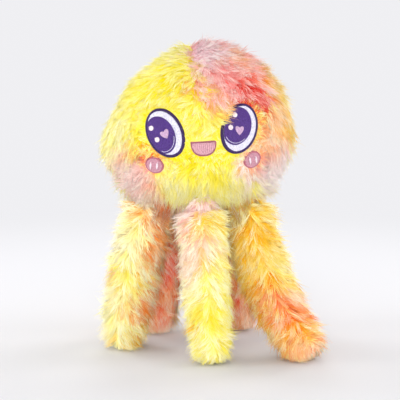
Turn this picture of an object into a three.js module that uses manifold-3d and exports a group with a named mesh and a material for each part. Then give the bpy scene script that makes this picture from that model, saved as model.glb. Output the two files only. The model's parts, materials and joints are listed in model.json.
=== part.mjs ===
// A plush jellyfish toy: a stuffed bell of long fur sewn from panels, an embroidered face, a squeaker in
// the filling, and five stuffed fur tentacles that flop about on gathered necks, sewn into the seam under
// the bell. Millimetres, +Z up, the face looks along -Y. The tentacles stand on z = 0, and the origin is
// under the middle of the whole. Fur surfaces are drawn at half the height of their pile.
import * as THREE from "three";
import { mergeVertices } from "three/addons/utils/BufferGeometryUtils.js";
import Module from "manifold-3d";

const wasm = await Module();
wasm.setup();

// Clearances
const FIT_GAP = 0.3; // between pieces that are sewn or seated together
const STITCH_GAP = 0.15; // between one layer of embroidery and the next

// Bell
const BELL_HALF_WIDTH = 75;
const BELL_HALF_DEPTH = 66;
const CROWN_RISE = 76; // from the widest level up to the crown
const SKIRT_DROP = 40; // from the widest level down to the sewn rim
const RIM_HALF_WIDTH = 50; // of the flat rim under the bell
const RIM_WIDTH = 12.8; // of the flat rim, from its outer edge to the base panel
const BELL_WALL = 6; // fur fabric with half its pile
const BASE_THICKNESS = 4;
const SIDE_SEAM_BACK = 12; // the side seams lie this far behind the middle
const CROWN_SEAM_SIDE = -6; // the crown seam lies to the left of the middle

// Squeaker
const SQUEAKER_RADIUS = 22;
const SQUEAKER_HALF_HEIGHT = 15;
const SQUEAKER_WALL = 1.2;
const SQUEAKER_LIFT = 8; // its middle, above the widest level of the bell
const NOZZLE_RADIUS = 4.7;
const NOZZLE_BORE = 2.6;
const NOZZLE_LENGTH = 10; // inside the bulb
const NOZZLE_FLANGE_RADIUS = 7.5;
const NOZZLE_FLANGE = 1.2;
const REED_THICKNESS = 0.5;
const REED_LENGTH = 8;

// Tentacles
const NECK_HEIGHT = 127; // middle of the necks, above the floor
const NECK_RADIUS = 9;
const MOUTH_DROP = 4.5; // the sleeve's mouth, below the middle of the neck
const MOUTH_LIP = 4; // thickness of the gathered mouth
const SHOULDER_RADIUS = 15.5;
const SHOULDER_DROP = 12; // below the middle of the neck
const BELLY_RADIUS = 17;
const TIP_RADIUS = 13;
const SLEEVE_WALL = 5;
const SOLE_CUT = 0.5; // the tips are pressed flat where they stand

// Each tentacle's place on the rim is a fifth of a turn from the last. It leans the way that it faces, turned
// by the lean, and bends from one tilt at its root to another at its tip, all in degrees.
const TENTACLES = [
  { name: "front", lean: 18, rootTilt: 8, tipTilt: 14, colour: 0xf6efa0 },
  { name: "right", lean: -28, rootTilt: 10, tipTilt: 46, colour: 0xf3bb58 },
  { name: "back_right", lean: 0, rootTilt: 10, tipTilt: 16, colour: 0xef8f4c },
  { name: "back_left", lean: 0, rootTilt: 12, tipTilt: 6, colour: 0xea7350 },
  { name: "left", lean: -30, rootTilt: 16, tipTilt: 8, colour: 0xf7ef92 },
];

// Face, seen from the front
const FACE_ROLL = 3; // degrees that it turns about the middle of the eyes, the right eye higher
const RECESS_FLOOR = 2.2; // fabric left under the embroidery
const PATCH_CLEARANCE = 0.5; // around a patch in its recess
const PATCH_THICKNESS = 0.9;
const FILL_THICKNESS = 0.6;
const EYE_RISE = 11.2; // above the bell's widest level
const EYE_HALF_WIDTH = 14.7;
const EYE_HALF_HEIGHT = 20.2;
const EYE_TILT = 20.9; // degrees, the tops of the eyes apart
const EYE_BORDER = 2.1;
const BROW_ABOVE_EYES = 4; // from the eyes up to the brow seam
const IRIS_HALF_WIDTH = 11.5;
const IRIS_HALF_HEIGHT = 15.2;
const HEART_SIZE = 7.6;
const GLINT_RADIUS = 2;
// Places in each eye's own outline, from its middle: both eyes glance to the same side. Hearts also turn, in
// degrees.
const EYES = [
  { name: "left", side: -1, iris: [-3.5, 0], heart: [-1.1, -1.6, 6], glints: [[-8.4, 7.3], [-7.9, -3]] },
  { name: "right", side: 1, iris: [-3.1, 0.9], heart: [-0.7, -2, 13], glints: [[-7, 9], [-8.1, -1.7]] },
];
const MOUTH_BELOW_EYES = 8; // from the middle of the eyes to the mouth's flat upper edge
const MOUTH_TO_EYE = 6.2;
const MOUTH_HALF_WIDTH = 10.2;
const MOUTH_DEPTH = 12;
const MOUTH_BORDER = 1.3;
const CHEEK_OUTWARD = 9.5; // from the middle of the eye
const CHEEK_BELOW_EYE = 0.3;
const CHEEK_RADIUS = 7.2;
const CHEEK_BORDER = 1.2;
const CHEEK_STITCH_WIDTH = 1.3;
const CHEEK_STITCH_LENGTH = 5.2;
const CHEEK_STITCH_SPACING = 4;

// Facets
const BELL_SIDES = 36;
const BELL_RINGS = 7; // above and below the widest level
const TENTACLE_SIDES = 14;
const TENTACLE_RINGS = 5;
const TIP_RINGS = 5;
const SQUEAKER_SIDES = 20;
const SQUEAKER_RINGS = 5;
const OUTLINE_STEPS = 12; // on each curve of a flat outline

// Sizes that follow from those above
const HALF_TURN = Math.PI;
const radians = THREE.MathUtils.degToRad;
const widestHeight = NECK_HEIGHT + NECK_RADIUS + FIT_GAP + SKIRT_DROP;
const rimHalfDepth = (RIM_HALF_WIDTH * BELL_HALF_DEPTH) / BELL_HALF_WIDTH;
const baseHalfWidth = RIM_HALF_WIDTH - RIM_WIDTH;
const neckCircle = (rimHalfDepth + baseHalfWidth) / 2; // the necks hang under the middle of the flat rim
const tipDrop = NECK_HEIGHT - TIP_RADIUS + SOLE_CUT; // from a neck's middle to the middle of its round tip
const recessDepth = BELL_WALL - RECESS_FLOOR;
const eyeSide = MOUTH_HALF_WIDTH + MOUTH_TO_EYE + EYE_HALF_WIDTH;
const browHeight = EYE_RISE + EYE_HALF_HEIGHT + BROW_ABOVE_EYES;
const cheekRise = EYE_RISE - EYE_HALF_HEIGHT - CHEEK_BELOW_EYE - CHEEK_RADIUS;

const COLOURS = {
  yellowFur: 0xf7e84a,
  pinkFur: 0xf2a3a0,
  goldFur: 0xf3c552,
  orangeFur: 0xef8f4c,
  filling: 0xf4f2ec,
  squeaker: 0xf1f1ee,
  outline: 0x33195c,
  white: 0xece8fa,
  iris: 0x57388a,
  heart: 0xcdaaca,
  glint: 0xf7e2e7,
  mouthBorder: 0xb4707f,
  mouth: 0xe0aab7,
  cheekBorder: 0xc97d8e,
  cheek: 0xdaa3b4,
  stitch: 0xefdce6,
  neck: 0xe9c65a,
  reed: 0xd8d2b8,
};
const ROUGHNESS = { fur: 0.95, cloth: 0.8, backing: 0.7, thread: 0.6, plastic: 0.4 };
const WELD = 1e-4; // corners closer than this are one

// Solids and meshes

/** A closed geometry as a solid that can be cut and joined. */
function solid(geometry) {
  const bare = geometry.clone();
  bare.deleteAttribute("normal");
  bare.deleteAttribute("uv");
  const merged = mergeVertices(bare, WELD);
  const vertProperties = new Float32Array(merged.attributes.position.array);
  const triVerts = new Uint32Array(merged.index.array);
  return new wasm.Manifold(new wasm.Mesh({ numProp: 3, vertProperties, triVerts }));
}

function geometryOf(made) {
  const { vertProperties, triVerts } = made.getMesh();
  const geometry = new THREE.BufferGeometry();
  geometry.setAttribute("position", new THREE.BufferAttribute(vertProperties, 3));
  geometry.setIndex(new THREE.BufferAttribute(triVerts, 1));
  const flat = geometry.toNonIndexed();
  flat.computeVertexNormals();
  return flat;
}

function add(group, name, shape, colour, roughness = ROUGHNESS.fur) {
  const geometry = shape.isBufferGeometry ? shape : geometryOf(shape);
  const material = new THREE.MeshStandardMaterial({ color: colour, roughness, metalness: 0 });
  const mesh = new THREE.Mesh(geometry, material);
  mesh.name = name;
  group.add(mesh);
}

/** A solid of revolution about Z, from (radius, height) points that start and end on the axis. */
function turned(points, sides) {
  return new THREE.LatheGeometry(points, sides).rotateX(HALF_TURN / 2);
}

function block(min, max) {
  const size = new THREE.Vector3().subVectors(max, min);
  const middle = new THREE.Vector3().addVectors(min, max).multiplyScalar(0.5);
  return solid(new THREE.BoxGeometry(size.x, size.y, size.z).translate(middle.x, middle.y, middle.z));
}

// Bell: local z = 0 is its widest level

/** Vertical half axis of the curve that runs from the widest level down to a rim. */
function skirtCurve(halfWidth, rim) {
  return SKIRT_DROP / Math.sqrt(1 - (rim / halfWidth) ** 2);
}

/** The bell down to its rim, both drawn in by an inset of their own. */
function bellSolid(inset, rimInset) {
  const width = BELL_HALF_WIDTH - inset;
  const rise = CROWN_RISE - inset;
  const skirt = skirtCurve(width, RIM_HALF_WIDTH - rimInset);
  const lower = new THREE.EllipseCurve(0, 0, width, skirt, -Math.asin(SKIRT_DROP / skirt), 0);
  const upper = new THREE.EllipseCurve(0, 0, width, rise, 0, HALF_TURN / 2);
  const outline = [
    new THREE.Vector2(0, -SKIRT_DROP),
    ...lower.getPoints(BELL_RINGS),
    ...upper.getPoints(BELL_RINGS).slice(1),
  ];
  outline.at(-1).x = 0;
  const depthShare = (BELL_HALF_DEPTH - inset) / width;
  return solid(turned(outline, BELL_SIDES).scale(1, depthShare, 1));
}

/** The point of the bell's front at a place in the face, with the way out of the fabric there. */
function onFace(side, rise) {
  const curve = rise < 0 ? skirtCurve(BELL_HALF_WIDTH, RIM_HALF_WIDTH) : CROWN_RISE;
  const axes = new THREE.Vector3(BELL_HALF_WIDTH, BELL_HALF_DEPTH, curve);
  const point = new THREE.Vector3(side, 0, rise);
  point.y = -BELL_HALF_DEPTH * Math.sqrt(1 - point.clone().divide(axes).lengthSq());
  const out = point.clone().divide(axes).divide(axes).normalize();
  return { point, out };
}

/** A group whose XY plane is the floor of a recess in the face, with +Z out of the fabric. */
function faceGroup(side, rise) {
  const middle = new THREE.Vector2(0, EYE_RISE);
  const place = new THREE.Vector2(side, rise).rotateAround(middle, radians(FACE_ROLL));
  const { point, out } = onFace(place.x, place.y);
  const right = new THREE.Vector3(0, 0, 1).cross(out).normalize();
  const up = new THREE.Vector3().crossVectors(out, right);
  const group = new THREE.Group();
  group.setRotationFromMatrix(new THREE.Matrix4().makeBasis(right, up, out));
  group.rotateZ(radians(FACE_ROLL));
  group.position.copy(point).addScaledVector(out, -recessDepth);
  return group;
}

function recess(group, shape) {
  group.updateMatrix();
  const cutter = new THREE.ExtrudeGeometry(shape, {
    depth: BELL_WALL,
    bevelEnabled: false,
    curveSegments: OUTLINE_STEPS,
  });
  return solid(cutter.applyMatrix4(group.matrix));
}

function bellPanels(head, recesses) {
  const shell = bellSolid(0, 0).subtract(bellSolid(BELL_WALL, RIM_WIDTH));
  const reach = BELL_HALF_WIDTH + BELL_HALF_DEPTH + CROWN_RISE + SKIRT_DROP;
  const half = FIT_GAP / 2;
  const panel = (x, y, z) =>
    shell.intersect(block(new THREE.Vector3(x[0], y[0], z[0]), new THREE.Vector3(x[1], y[1], z[1])));
  const front = [-reach, SIDE_SEAM_BACK - half];
  const back = [SIDE_SEAM_BACK + half, reach];
  const crown = [browHeight + half, reach];
  const all = [-reach, reach];
  let face = panel(all, front, [-reach, browHeight - half]);
  for (const cut of recesses) face = face.subtract(cut);
  add(head, "face_panel", face, COLOURS.yellowFur);
  const crownLeft = panel([-reach, CROWN_SEAM_SIDE - half], front, crown);
  const crownRight = panel([CROWN_SEAM_SIDE + half, reach], front, crown);
  add(head, "crown_left_panel", crownLeft, COLOURS.yellowFur);
  add(head, "crown_right_panel", crownRight, COLOURS.pinkFur);
  add(head, "back_left_panel", panel([-reach, -half], back, all), COLOURS.yellowFur);
  add(head, "back_right_panel", panel([half, reach], back, all), COLOURS.orangeFur);
}

/** The round panel that closes the bell, sewn inside its rim. */
function basePanel(head) {
  const radius = baseHalfWidth - FIT_GAP;
  const inset = BELL_WALL + FIT_GAP;
  const depthShare = (BELL_HALF_DEPTH - inset) / (BELL_HALF_WIDTH - inset);
  const disc = new THREE.CylinderGeometry(radius, radius, BASE_THICKNESS, BELL_SIDES).rotateX(HALF_TURN / 2);
  disc.scale(1, depthShare, 1).translate(0, 0, BASE_THICKNESS / 2 - SKIRT_DROP);
  add(head, "base_panel", disc, COLOURS.goldFur);
}

/** Half outline of the squeaker's bulb from the edge of its mouth to its top, drawn in by an inset. */
function bulbOutline(inset) {
  const radius = SQUEAKER_RADIUS - inset;
  const height = SQUEAKER_HALF_HEIGHT - inset;
  const mouthAngle = Math.asin((NOZZLE_RADIUS + FIT_GAP) / radius) - HALF_TURN / 2;
  const wall = new THREE.EllipseCurve(0, 0, radius, height, mouthAngle, HALF_TURN / 2);
  const points = wall.getPoints(SQUEAKER_RINGS);
  points.at(-1).x = 0;
  return points;
}

/** The filling in two halves, parted at the squeaker's middle and hollowed to hold it. */
function bellFilling(head) {
  const whole = bellSolid(BELL_WALL + FIT_GAP, RIM_WIDTH + FIT_GAP);
  const reach = BELL_HALF_WIDTH * 2;
  const bottom = BASE_THICKNESS - SKIRT_DROP + FIT_GAP;
  const bulb = bulbOutline(-FIT_GAP);
  const pocket = solid(turned([new THREE.Vector2(0, bulb[0].y), ...bulb], SQUEAKER_SIDES));
  const flangeRadius = NOZZLE_FLANGE_RADIUS + FIT_GAP;
  const flangeDepth = SQUEAKER_HALF_HEIGHT + NOZZLE_FLANGE + FIT_GAP;
  const flange = new THREE.CylinderGeometry(flangeRadius, flangeRadius, flangeDepth, SQUEAKER_SIDES);
  const flangePocket = solid(flange.rotateX(HALF_TURN / 2).translate(0, 0, -flangeDepth / 2));
  const hollow = whole.subtract(pocket.add(flangePocket).translate(0, 0, SQUEAKER_LIFT));
  const part = SQUEAKER_LIFT - FIT_GAP / 2;
  const slice = (low, high) =>
    hollow.intersect(block(new THREE.Vector3(-reach, -reach, low), new THREE.Vector3(reach, reach, high)));
  add(head, "bell_filling_lower", slice(bottom, part), COLOURS.filling);
  add(head, "bell_filling_upper", slice(part + FIT_GAP, reach), COLOURS.filling);
}

/** A hollow bulb with a nozzle pushed into its mouth and a reed across the nozzle's bore. */
function squeaker(head) {
  const group = new THREE.Group();
  group.position.z = SQUEAKER_LIFT;
  head.add(group);
  const bulb = [...bulbOutline(SQUEAKER_WALL).reverse(), ...bulbOutline(0)];
  add(group, "squeaker_bulb", turned(bulb, SQUEAKER_SIDES), COLOURS.squeaker, ROUGHNESS.plastic);
  const flangeTop = -SQUEAKER_HALF_HEIGHT;
  const flangeBottom = flangeTop - NOZZLE_FLANGE;
  const nozzle = [
    [NOZZLE_BORE, flangeBottom],
    [NOZZLE_FLANGE_RADIUS, flangeBottom],
    [NOZZLE_FLANGE_RADIUS, flangeTop],
    [NOZZLE_RADIUS, flangeTop],
    [NOZZLE_RADIUS, flangeTop + NOZZLE_LENGTH],
    [NOZZLE_BORE, flangeTop + NOZZLE_LENGTH],
    [NOZZLE_BORE, flangeBottom],
  ].map(([radius, height]) => new THREE.Vector2(radius, height));
  add(group, "squeaker_nozzle", turned(nozzle, SQUEAKER_SIDES), COLOURS.squeaker, ROUGHNESS.plastic);
  const reedWidth = 2 * (NOZZLE_BORE - FIT_GAP);
  const reed = new THREE.BoxGeometry(reedWidth, REED_THICKNESS, REED_LENGTH);
  const reedMiddle = flangeTop + NOZZLE_LENGTH / 2;
  add(group, "squeaker_reed", reed.translate(0, 0, reedMiddle), COLOURS.reed, ROUGHNESS.plastic);
}

// Face

function ellipse(halfWidth, halfHeight, x = 0, y = 0) {
  const shape = new THREE.Shape();
  shape.absellipse(x, y, halfWidth, halfHeight, 0, 2 * HALF_TURN);
  return shape;
}

/** A half round with a flat upper edge, like an open smile, drawn in by an inset. */
function smile(inset) {
  const shape = new THREE.Shape();
  shape.moveTo(-MOUTH_HALF_WIDTH + inset, -inset);
  shape.absellipse(0, -inset, MOUTH_HALF_WIDTH - inset, MOUTH_DEPTH - 2 * inset, HALF_TURN, 2 * HALF_TURN);
  shape.closePath();
  return shape;
}

/** A heart from its point up over two lobes, about its own middle. */
function heart(x, y, turn) {
  const half = HEART_SIZE / 2;
  const shape = new THREE.Shape();
  shape.moveTo(0, -half);
  shape.bezierCurveTo(-half * 1.6, half * 0.3, -half * 0.9, half * 1.4, 0, half * 0.55);
  shape.bezierCurveTo(half * 0.9, half * 1.4, half * 1.6, half * 0.3, 0, -half);
  const points = shape.getPoints(OUTLINE_STEPS / 2);
  const middle = new THREE.Vector2(x, y);
  const placed = points.map((p) => p.rotateAround(new THREE.Vector2(), radians(turn)).add(middle));
  return new THREE.Shape(placed);
}

/** A flat piece of embroidery that starts at a height over the floor of its recess. */
function plate(shape, height, thickness) {
  const options = { depth: thickness, bevelEnabled: false, curveSegments: OUTLINE_STEPS };
  return new THREE.ExtrudeGeometry(shape, options).translate(0, 0, height);
}

// Heights of the layers of embroidery over the floor of a recess
const patchLevel = STITCH_GAP;
const fillLevel = patchLevel + PATCH_THICKNESS + STITCH_GAP;
const upperLevel = fillLevel + FILL_THICKNESS + STITCH_GAP;
const topLevel = upperLevel + FILL_THICKNESS + STITCH_GAP;

function eye(head, { name, side, iris, heart: heartPlace, glints }) {
  const group = faceGroup(side * eyeSide, EYE_RISE);
  group.rotateZ(radians(-side * EYE_TILT));
  head.add(group);
  const innerWidth = EYE_HALF_WIDTH - EYE_BORDER;
  const innerHeight = EYE_HALF_HEIGHT - EYE_BORDER;
  const patch = plate(ellipse(EYE_HALF_WIDTH, EYE_HALF_HEIGHT), patchLevel, PATCH_THICKNESS);
  add(group, `${name}_eye_patch`, patch, COLOURS.outline, ROUGHNESS.backing);
  const white = plate(ellipse(innerWidth, innerHeight), fillLevel, FILL_THICKNESS);
  add(group, `${name}_eye_white`, white, COLOURS.white, ROUGHNESS.thread);
  const within = solid(plate(ellipse(innerWidth, innerHeight), upperLevel, FILL_THICKNESS));
  const round = plate(ellipse(IRIS_HALF_WIDTH, IRIS_HALF_HEIGHT, ...iris), upperLevel, FILL_THICKNESS);
  add(group, `${name}_eye_iris`, within.intersect(solid(round)), COLOURS.iris, ROUGHNESS.thread);
  const love = plate(heart(...heartPlace), topLevel, FILL_THICKNESS);
  add(group, `${name}_eye_heart`, love, COLOURS.heart, ROUGHNESS.thread);
  glints.forEach(([x, y], i) => {
    const dot = plate(ellipse(GLINT_RADIUS, GLINT_RADIUS, x, y), topLevel, FILL_THICKNESS);
    add(group, `${name}_eye_glint_${i + 1}`, dot, COLOURS.glint, ROUGHNESS.thread);
  });
  return recess(group, ellipse(EYE_HALF_WIDTH + PATCH_CLEARANCE, EYE_HALF_HEIGHT + PATCH_CLEARANCE));
}

function mouth(head) {
  const group = faceGroup(0, EYE_RISE - MOUTH_BELOW_EYES);
  head.add(group);
  const patch = plate(smile(0), patchLevel, PATCH_THICKNESS);
  add(group, "mouth_patch", patch, COLOURS.mouthBorder, ROUGHNESS.backing);
  const fill = plate(smile(MOUTH_BORDER), fillLevel, FILL_THICKNESS);
  add(group, "mouth_fill", fill, COLOURS.mouth, ROUGHNESS.thread);
  return recess(group, smile(-PATCH_CLEARANCE));
}

function cheek(head, name, side) {
  const group = faceGroup(side * (eyeSide + CHEEK_OUTWARD), cheekRise);
  head.add(group);
  const inner = CHEEK_RADIUS - CHEEK_BORDER;
  const patch = plate(ellipse(CHEEK_RADIUS, CHEEK_RADIUS), patchLevel, PATCH_THICKNESS);
  add(group, `${name}_cheek_patch`, patch, COLOURS.cheekBorder, ROUGHNESS.backing);
  const fill = plate(ellipse(inner, inner), fillLevel, FILL_THICKNESS);
  add(group, `${name}_cheek_fill`, fill, COLOURS.cheek, ROUGHNESS.thread);
  for (const [i, place] of [-0.5, 0.5].entries()) {
    const x = place * CHEEK_STITCH_SPACING;
    const outline = ellipse(CHEEK_STITCH_WIDTH / 2, CHEEK_STITCH_LENGTH / 2, x);
    const stitch = plate(outline, upperLevel, FILL_THICKNESS);
    add(group, `${name}_cheek_stitch_${i + 1}`, stitch, COLOURS.stitch, ROUGHNESS.thread);
  }
  return recess(group, ellipse(CHEEK_RADIUS + PATCH_CLEARANCE, CHEEK_RADIUS + PATCH_CLEARANCE));
}

// Tentacles

/** A tentacle's middle line: an arc from the neck to the middle of the round tip, and straight on. */
class MiddleLine {
  constructor(rootTilt, tipTilt) {
    this.first = radians(rootTilt);
    this.turn = radians(tipTilt) - this.first;
    this.reach = tipDrop / (MiddleLine.chordShare(this.turn) * Math.cos(this.first + this.turn / 2));
  }

  /** Length of the chord of an arc, as a share of the arc. */
  static chordShare(turn) {
    return turn === 0 ? 1 : Math.sin(turn / 2) / (turn / 2);
  }

  /** How far out and down the line is at a length along it, and its tilt there. */
  at(length) {
    const along = Math.min(length, this.reach);
    const turn = (this.turn * along) / this.reach;
    const chord = along * MiddleLine.chordShare(turn);
    const beyond = length - along;
    const tilt = this.first + turn;
    return {
      out: chord * Math.sin(this.first + turn / 2) + beyond * Math.sin(tilt),
      drop: chord * Math.cos(this.first + turn / 2) + beyond * Math.cos(tilt),
      tilt,
    };
  }

  /** Turns half an outline about the line: x is the radius and y the length from the neck. */
  turned(outline) {
    const geometry = new THREE.LatheGeometry(outline, TENTACLE_SIDES);
    const places = geometry.attributes.position;
    for (let i = 0; i < places.count; i++) {
      const { out, drop, tilt } = this.at(places.getY(i));
      const across = places.getX(i);
      places.setXYZ(i, out + across * Math.cos(tilt), places.getZ(i), across * Math.sin(tilt) - drop);
    }
    return geometry;
  }

  /** Half outline of the tentacle from its shoulder to its tip, drawn in by an inset. */
  outline(inset) {
    const shoulder = new THREE.Vector2(SHOULDER_RADIUS - inset, SHOULDER_DROP);
    const tip = new THREE.Vector2(TIP_RADIUS - inset, this.reach);
    const bulge = 2 * BELLY_RADIUS - (SHOULDER_RADIUS + TIP_RADIUS) / 2 - inset;
    const belly = new THREE.Vector2(bulge, (SHOULDER_DROP + this.reach) / 2);
    const side = new THREE.QuadraticBezierCurve(shoulder, belly, tip);
    const cap = new THREE.EllipseCurve(0, this.reach, tip.x, tip.x, 0, HALF_TURN / 2);
    const points = [...side.getPoints(TENTACLE_RINGS), ...cap.getPoints(TIP_RINGS).slice(1)];
    points.at(-1).x = 0;
    return points;
  }
}

function tentacle(toy, place, { name, lean, rootTilt, tipTilt, colour }) {
  const line = new MiddleLine(rootTilt, tipTilt);
  const group = new THREE.Group();
  group.position.set(neckCircle * Math.sin(place), -neckCircle * Math.cos(place), NECK_HEIGHT);
  group.rotation.z = place + radians(lean) - HALF_TURN / 2;
  toy.add(group);

  const neck = new THREE.SphereGeometry(NECK_RADIUS, TENTACLE_SIDES, TENTACLE_SIDES / 2);
  add(group, `${name}_tentacle_neck`, neck.rotateX(HALF_TURN / 2), COLOURS.neck, ROUGHNESS.cloth);

  const mouthInner = Math.sqrt((NECK_RADIUS + FIT_GAP) ** 2 - MOUTH_DROP ** 2);
  const sleeve = [
    ...line.outline(SLEEVE_WALL).reverse(),
    new THREE.Vector2(mouthInner, MOUTH_DROP),
    new THREE.Vector2(mouthInner + MOUTH_LIP, MOUTH_DROP),
    ...line.outline(0),
  ];
  const floor = block(
    new THREE.Vector3(-line.reach, -line.reach, -2 * NECK_HEIGHT),
    new THREE.Vector3(2 * line.reach, line.reach, -NECK_HEIGHT),
  );
  add(group, `${name}_tentacle_sleeve`, solid(line.turned(sleeve)).subtract(floor), colour);

  const core = line.outline(SLEEVE_WALL + FIT_GAP);
  const top = NECK_RADIUS + 2 * FIT_GAP;
  const throat = Math.min(mouthInner, core[0].x) - FIT_GAP;
  const filling = [new THREE.Vector2(0, top), new THREE.Vector2(throat, top), ...core];
  add(group, `${name}_tentacle_filling`, line.turned(filling), COLOURS.filling);
}

// Assembly
const toy = new THREE.Group();
toy.name = "plush_jellyfish";
const head = new THREE.Group();
head.position.z = widestHeight;
toy.add(head);

const recesses = EYES.map((each) => eye(head, each));
recesses.push(mouth(head), cheek(head, "left", -1), cheek(head, "right", 1));
bellPanels(head, recesses);
basePanel(head);
bellFilling(head);
squeaker(head);
TENTACLES.forEach((each, i) => tentacle(toy, (2 * HALF_TURN * i) / TENTACLES.length, each));

const exactly = true; // the box fits the corners of the turned pieces, not their own boxes
const middle = new THREE.Box3().setFromObject(toy, exactly).getCenter(new THREE.Vector3());
toy.position.set(-middle.x, -middle.y, 0);

export default toy;
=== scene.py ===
"""Looks of a plush jellyfish dog toy: long tie-dyed fur on a stuffed bell and five tentacles, with an
embroidered face. Lengths are in millimetres until a mesh is made. The bell has axes of its own, with the
origin in its middle at the widest level."""
import json
import math

import bmesh
import bpy
import numpy as np
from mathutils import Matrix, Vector


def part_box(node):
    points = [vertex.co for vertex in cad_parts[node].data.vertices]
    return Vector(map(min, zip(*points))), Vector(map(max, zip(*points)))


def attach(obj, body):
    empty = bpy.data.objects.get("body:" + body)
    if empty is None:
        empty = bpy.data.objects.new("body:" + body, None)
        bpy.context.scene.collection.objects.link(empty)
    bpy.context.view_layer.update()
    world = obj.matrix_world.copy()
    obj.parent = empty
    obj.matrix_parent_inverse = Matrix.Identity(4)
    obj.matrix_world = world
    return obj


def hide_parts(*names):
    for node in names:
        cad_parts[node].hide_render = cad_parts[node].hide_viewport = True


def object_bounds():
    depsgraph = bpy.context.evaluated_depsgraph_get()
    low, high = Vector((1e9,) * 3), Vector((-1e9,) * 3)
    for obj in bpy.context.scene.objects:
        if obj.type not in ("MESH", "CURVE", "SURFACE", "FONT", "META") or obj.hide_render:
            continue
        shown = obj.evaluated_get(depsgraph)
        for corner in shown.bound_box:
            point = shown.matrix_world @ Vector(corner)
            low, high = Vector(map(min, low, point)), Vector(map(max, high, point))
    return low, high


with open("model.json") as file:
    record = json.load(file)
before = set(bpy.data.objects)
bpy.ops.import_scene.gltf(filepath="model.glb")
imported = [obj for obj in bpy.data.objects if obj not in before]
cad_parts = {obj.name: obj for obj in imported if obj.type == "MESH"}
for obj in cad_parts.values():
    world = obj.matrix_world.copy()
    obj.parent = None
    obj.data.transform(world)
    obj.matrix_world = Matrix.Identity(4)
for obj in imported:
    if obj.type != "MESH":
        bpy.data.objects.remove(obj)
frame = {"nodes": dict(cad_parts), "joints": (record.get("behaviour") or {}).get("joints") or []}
cad_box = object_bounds()

MM = 0.001
PROUD = 13.5  # fur stands out of the solids' box by no more than this
ROOM = [np.array(corner) / MM + side * PROUD for corner, side in zip(cad_box, (-1, 1))]
UP = np.array((0.0, 0.0, 1.0))
FULL_TURN = 2 * math.pi
GOLDEN_TURN = math.pi * (3 - math.sqrt(5))
UPRIGHT = math.pi / 2
TINY = 1e-9  # keeps a length that divides from being 0
FAR = 1e9

# Bell, at half the height of the pile, as the solids have it
BELL_HALF_WIDTH = 75.0
BELL_HALF_DEPTH = 66.0
CROWN_RISE = 76.0
SKIRT_DROP = 40.0
RIM_HALF_WIDTH = 50.0
RIM_WIDTH = 12.8
BASE_THICKNESS = 4.0
SKIRT_CURVE = SKIRT_DROP / math.sqrt(1 - (RIM_HALF_WIDTH / BELL_HALF_WIDTH) ** 2)
SIDE_SEAM = 12.0
BROW_SEAM = 35.4
CROWN_SEAM = -6.0
BACK_SEAM = 0.0
SEAM_GAP = 0.3
RIM_COSINE = -SKIRT_DROP / SKIRT_CURVE  # of the rim's angle from the top, before the bell is stretched
SLUMP = 0.085  # how far the stuffing has slumped, as a share of the radius
SLUMP_WAY = (-0.68, 0.0, 0.73)  # where it has, at the upper left
SLUMP_COSINE = 0.72  # of the angle from there to where the slump ends

# Face. Each eye has half its own size and half its iris's, and places across and up the eye for the iris,
# for the heart, with its turn in degrees, and for the glints.
FACE_ROLL = math.radians(3)
RECESS_DEPTH = 3.8
EYE_SIDE = 31.1
EYE_RISE = 11.2
EYE_TILT = math.radians(29)
EYE_BORDER = 2.1
HEART_SIZE = 7.6
GLINT_RADIUS = 2.0
EYES = {
    "left": {
        "side": -1,
        "half": (15.0, 20.7),
        "iris_half": (11.7, 15.6),
        "iris": (-3.5, 0.0),
        "heart": (0.5, -1.5, -2),
        "glints": ((-7.4, 8.5), (-7.4, -1.9)),
    },
    "right": {
        "side": 1,
        "half": (15.6, 20.7),
        "iris_half": (12.1, 15.5),
        "iris": (-3.4, 0.6),
        "heart": (-0.7, -2.1, 21),
        "glints": ((-8.8, 7.8), (-8.6, -3.0)),
    },
}
MOUTH_RISE = 3.2
MOUTH_HALF_WIDTH = 10.2
MOUTH_DEPTH = 12.0
MOUTH_BORDER = 1.3
CHEEK_SIDE = 40.6
CHEEK_RISE = -16.5
CHEEK_HALF = (8.4, 7.4)
CHEEK_BORDER = 1.2
CHEEK_STITCH = (1.5, 7.2)
CHEEK_STITCH_SPACING = 6.0
CHEEK_TURN = math.radians(20)
CHEEK_STITCH_TURN = math.radians(20)
DOME = 0.0042  # how much the embroidery curves with the head, per millimetre

# Levels over the floor of the embroidery's recess: the underside and the top of a pad, then its threads
PATCH_PAD = (-1.4, 0.85)
FILL_LAYER = (0.95, 1.4, 1.45)
UPPER_LAYER = (1.5, 2.05, 2.15)
TOP_LAYER = (2.15, 2.8, 2.85)
EYE_BORDER_LEVEL = 1.25
BORDER_LEVEL = 1.2
CHEEK_STITCH_LEVEL = 2.05
IRIS_LINE_LEVEL = 2.3

# Tentacles
NECK_RADIUS = 9.0
MOUTH_DROP = 4.5
MOUTH_RADIUS = 12.1
SHOULDER_RADIUS = 15.5
SHOULDER_DROP = 12.0
BELLY_RADIUS = 17.0
TIP_RADIUS = 13.0
TIP_DROP = 114.5
SIDE_ROWS = 40
TIP_ROWS = 16
SLOPE_STEP = 0.5
# For each its tilts at the neck and at the tip in degrees, where its fur parts at both, in degrees round it
# from the way it leans, how long the fur is along it and at the tip, and how far it lifts off, in radians
TENTACLES = {
    "front": {"tilts": (8, 14), "parting": (-26, -8), "fur": (15, 8), "lift": 0.24},
    "right": {"tilts": (10, 46), "parting": (-40, -20), "fur": (18, 6), "lift": 0.32},
    "back_right": {"tilts": (10, 16), "parting": (-10, 10), "fur": (18, 11), "lift": 0.26},
    "back_left": {"tilts": (12, 6), "parting": (10, -10), "fur": (18, 11), "lift": 0.26},
    "left": {"tilts": (16, 8), "parting": (75, 60), "fur": (18, 11), "lift": 0.32},
}

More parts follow.
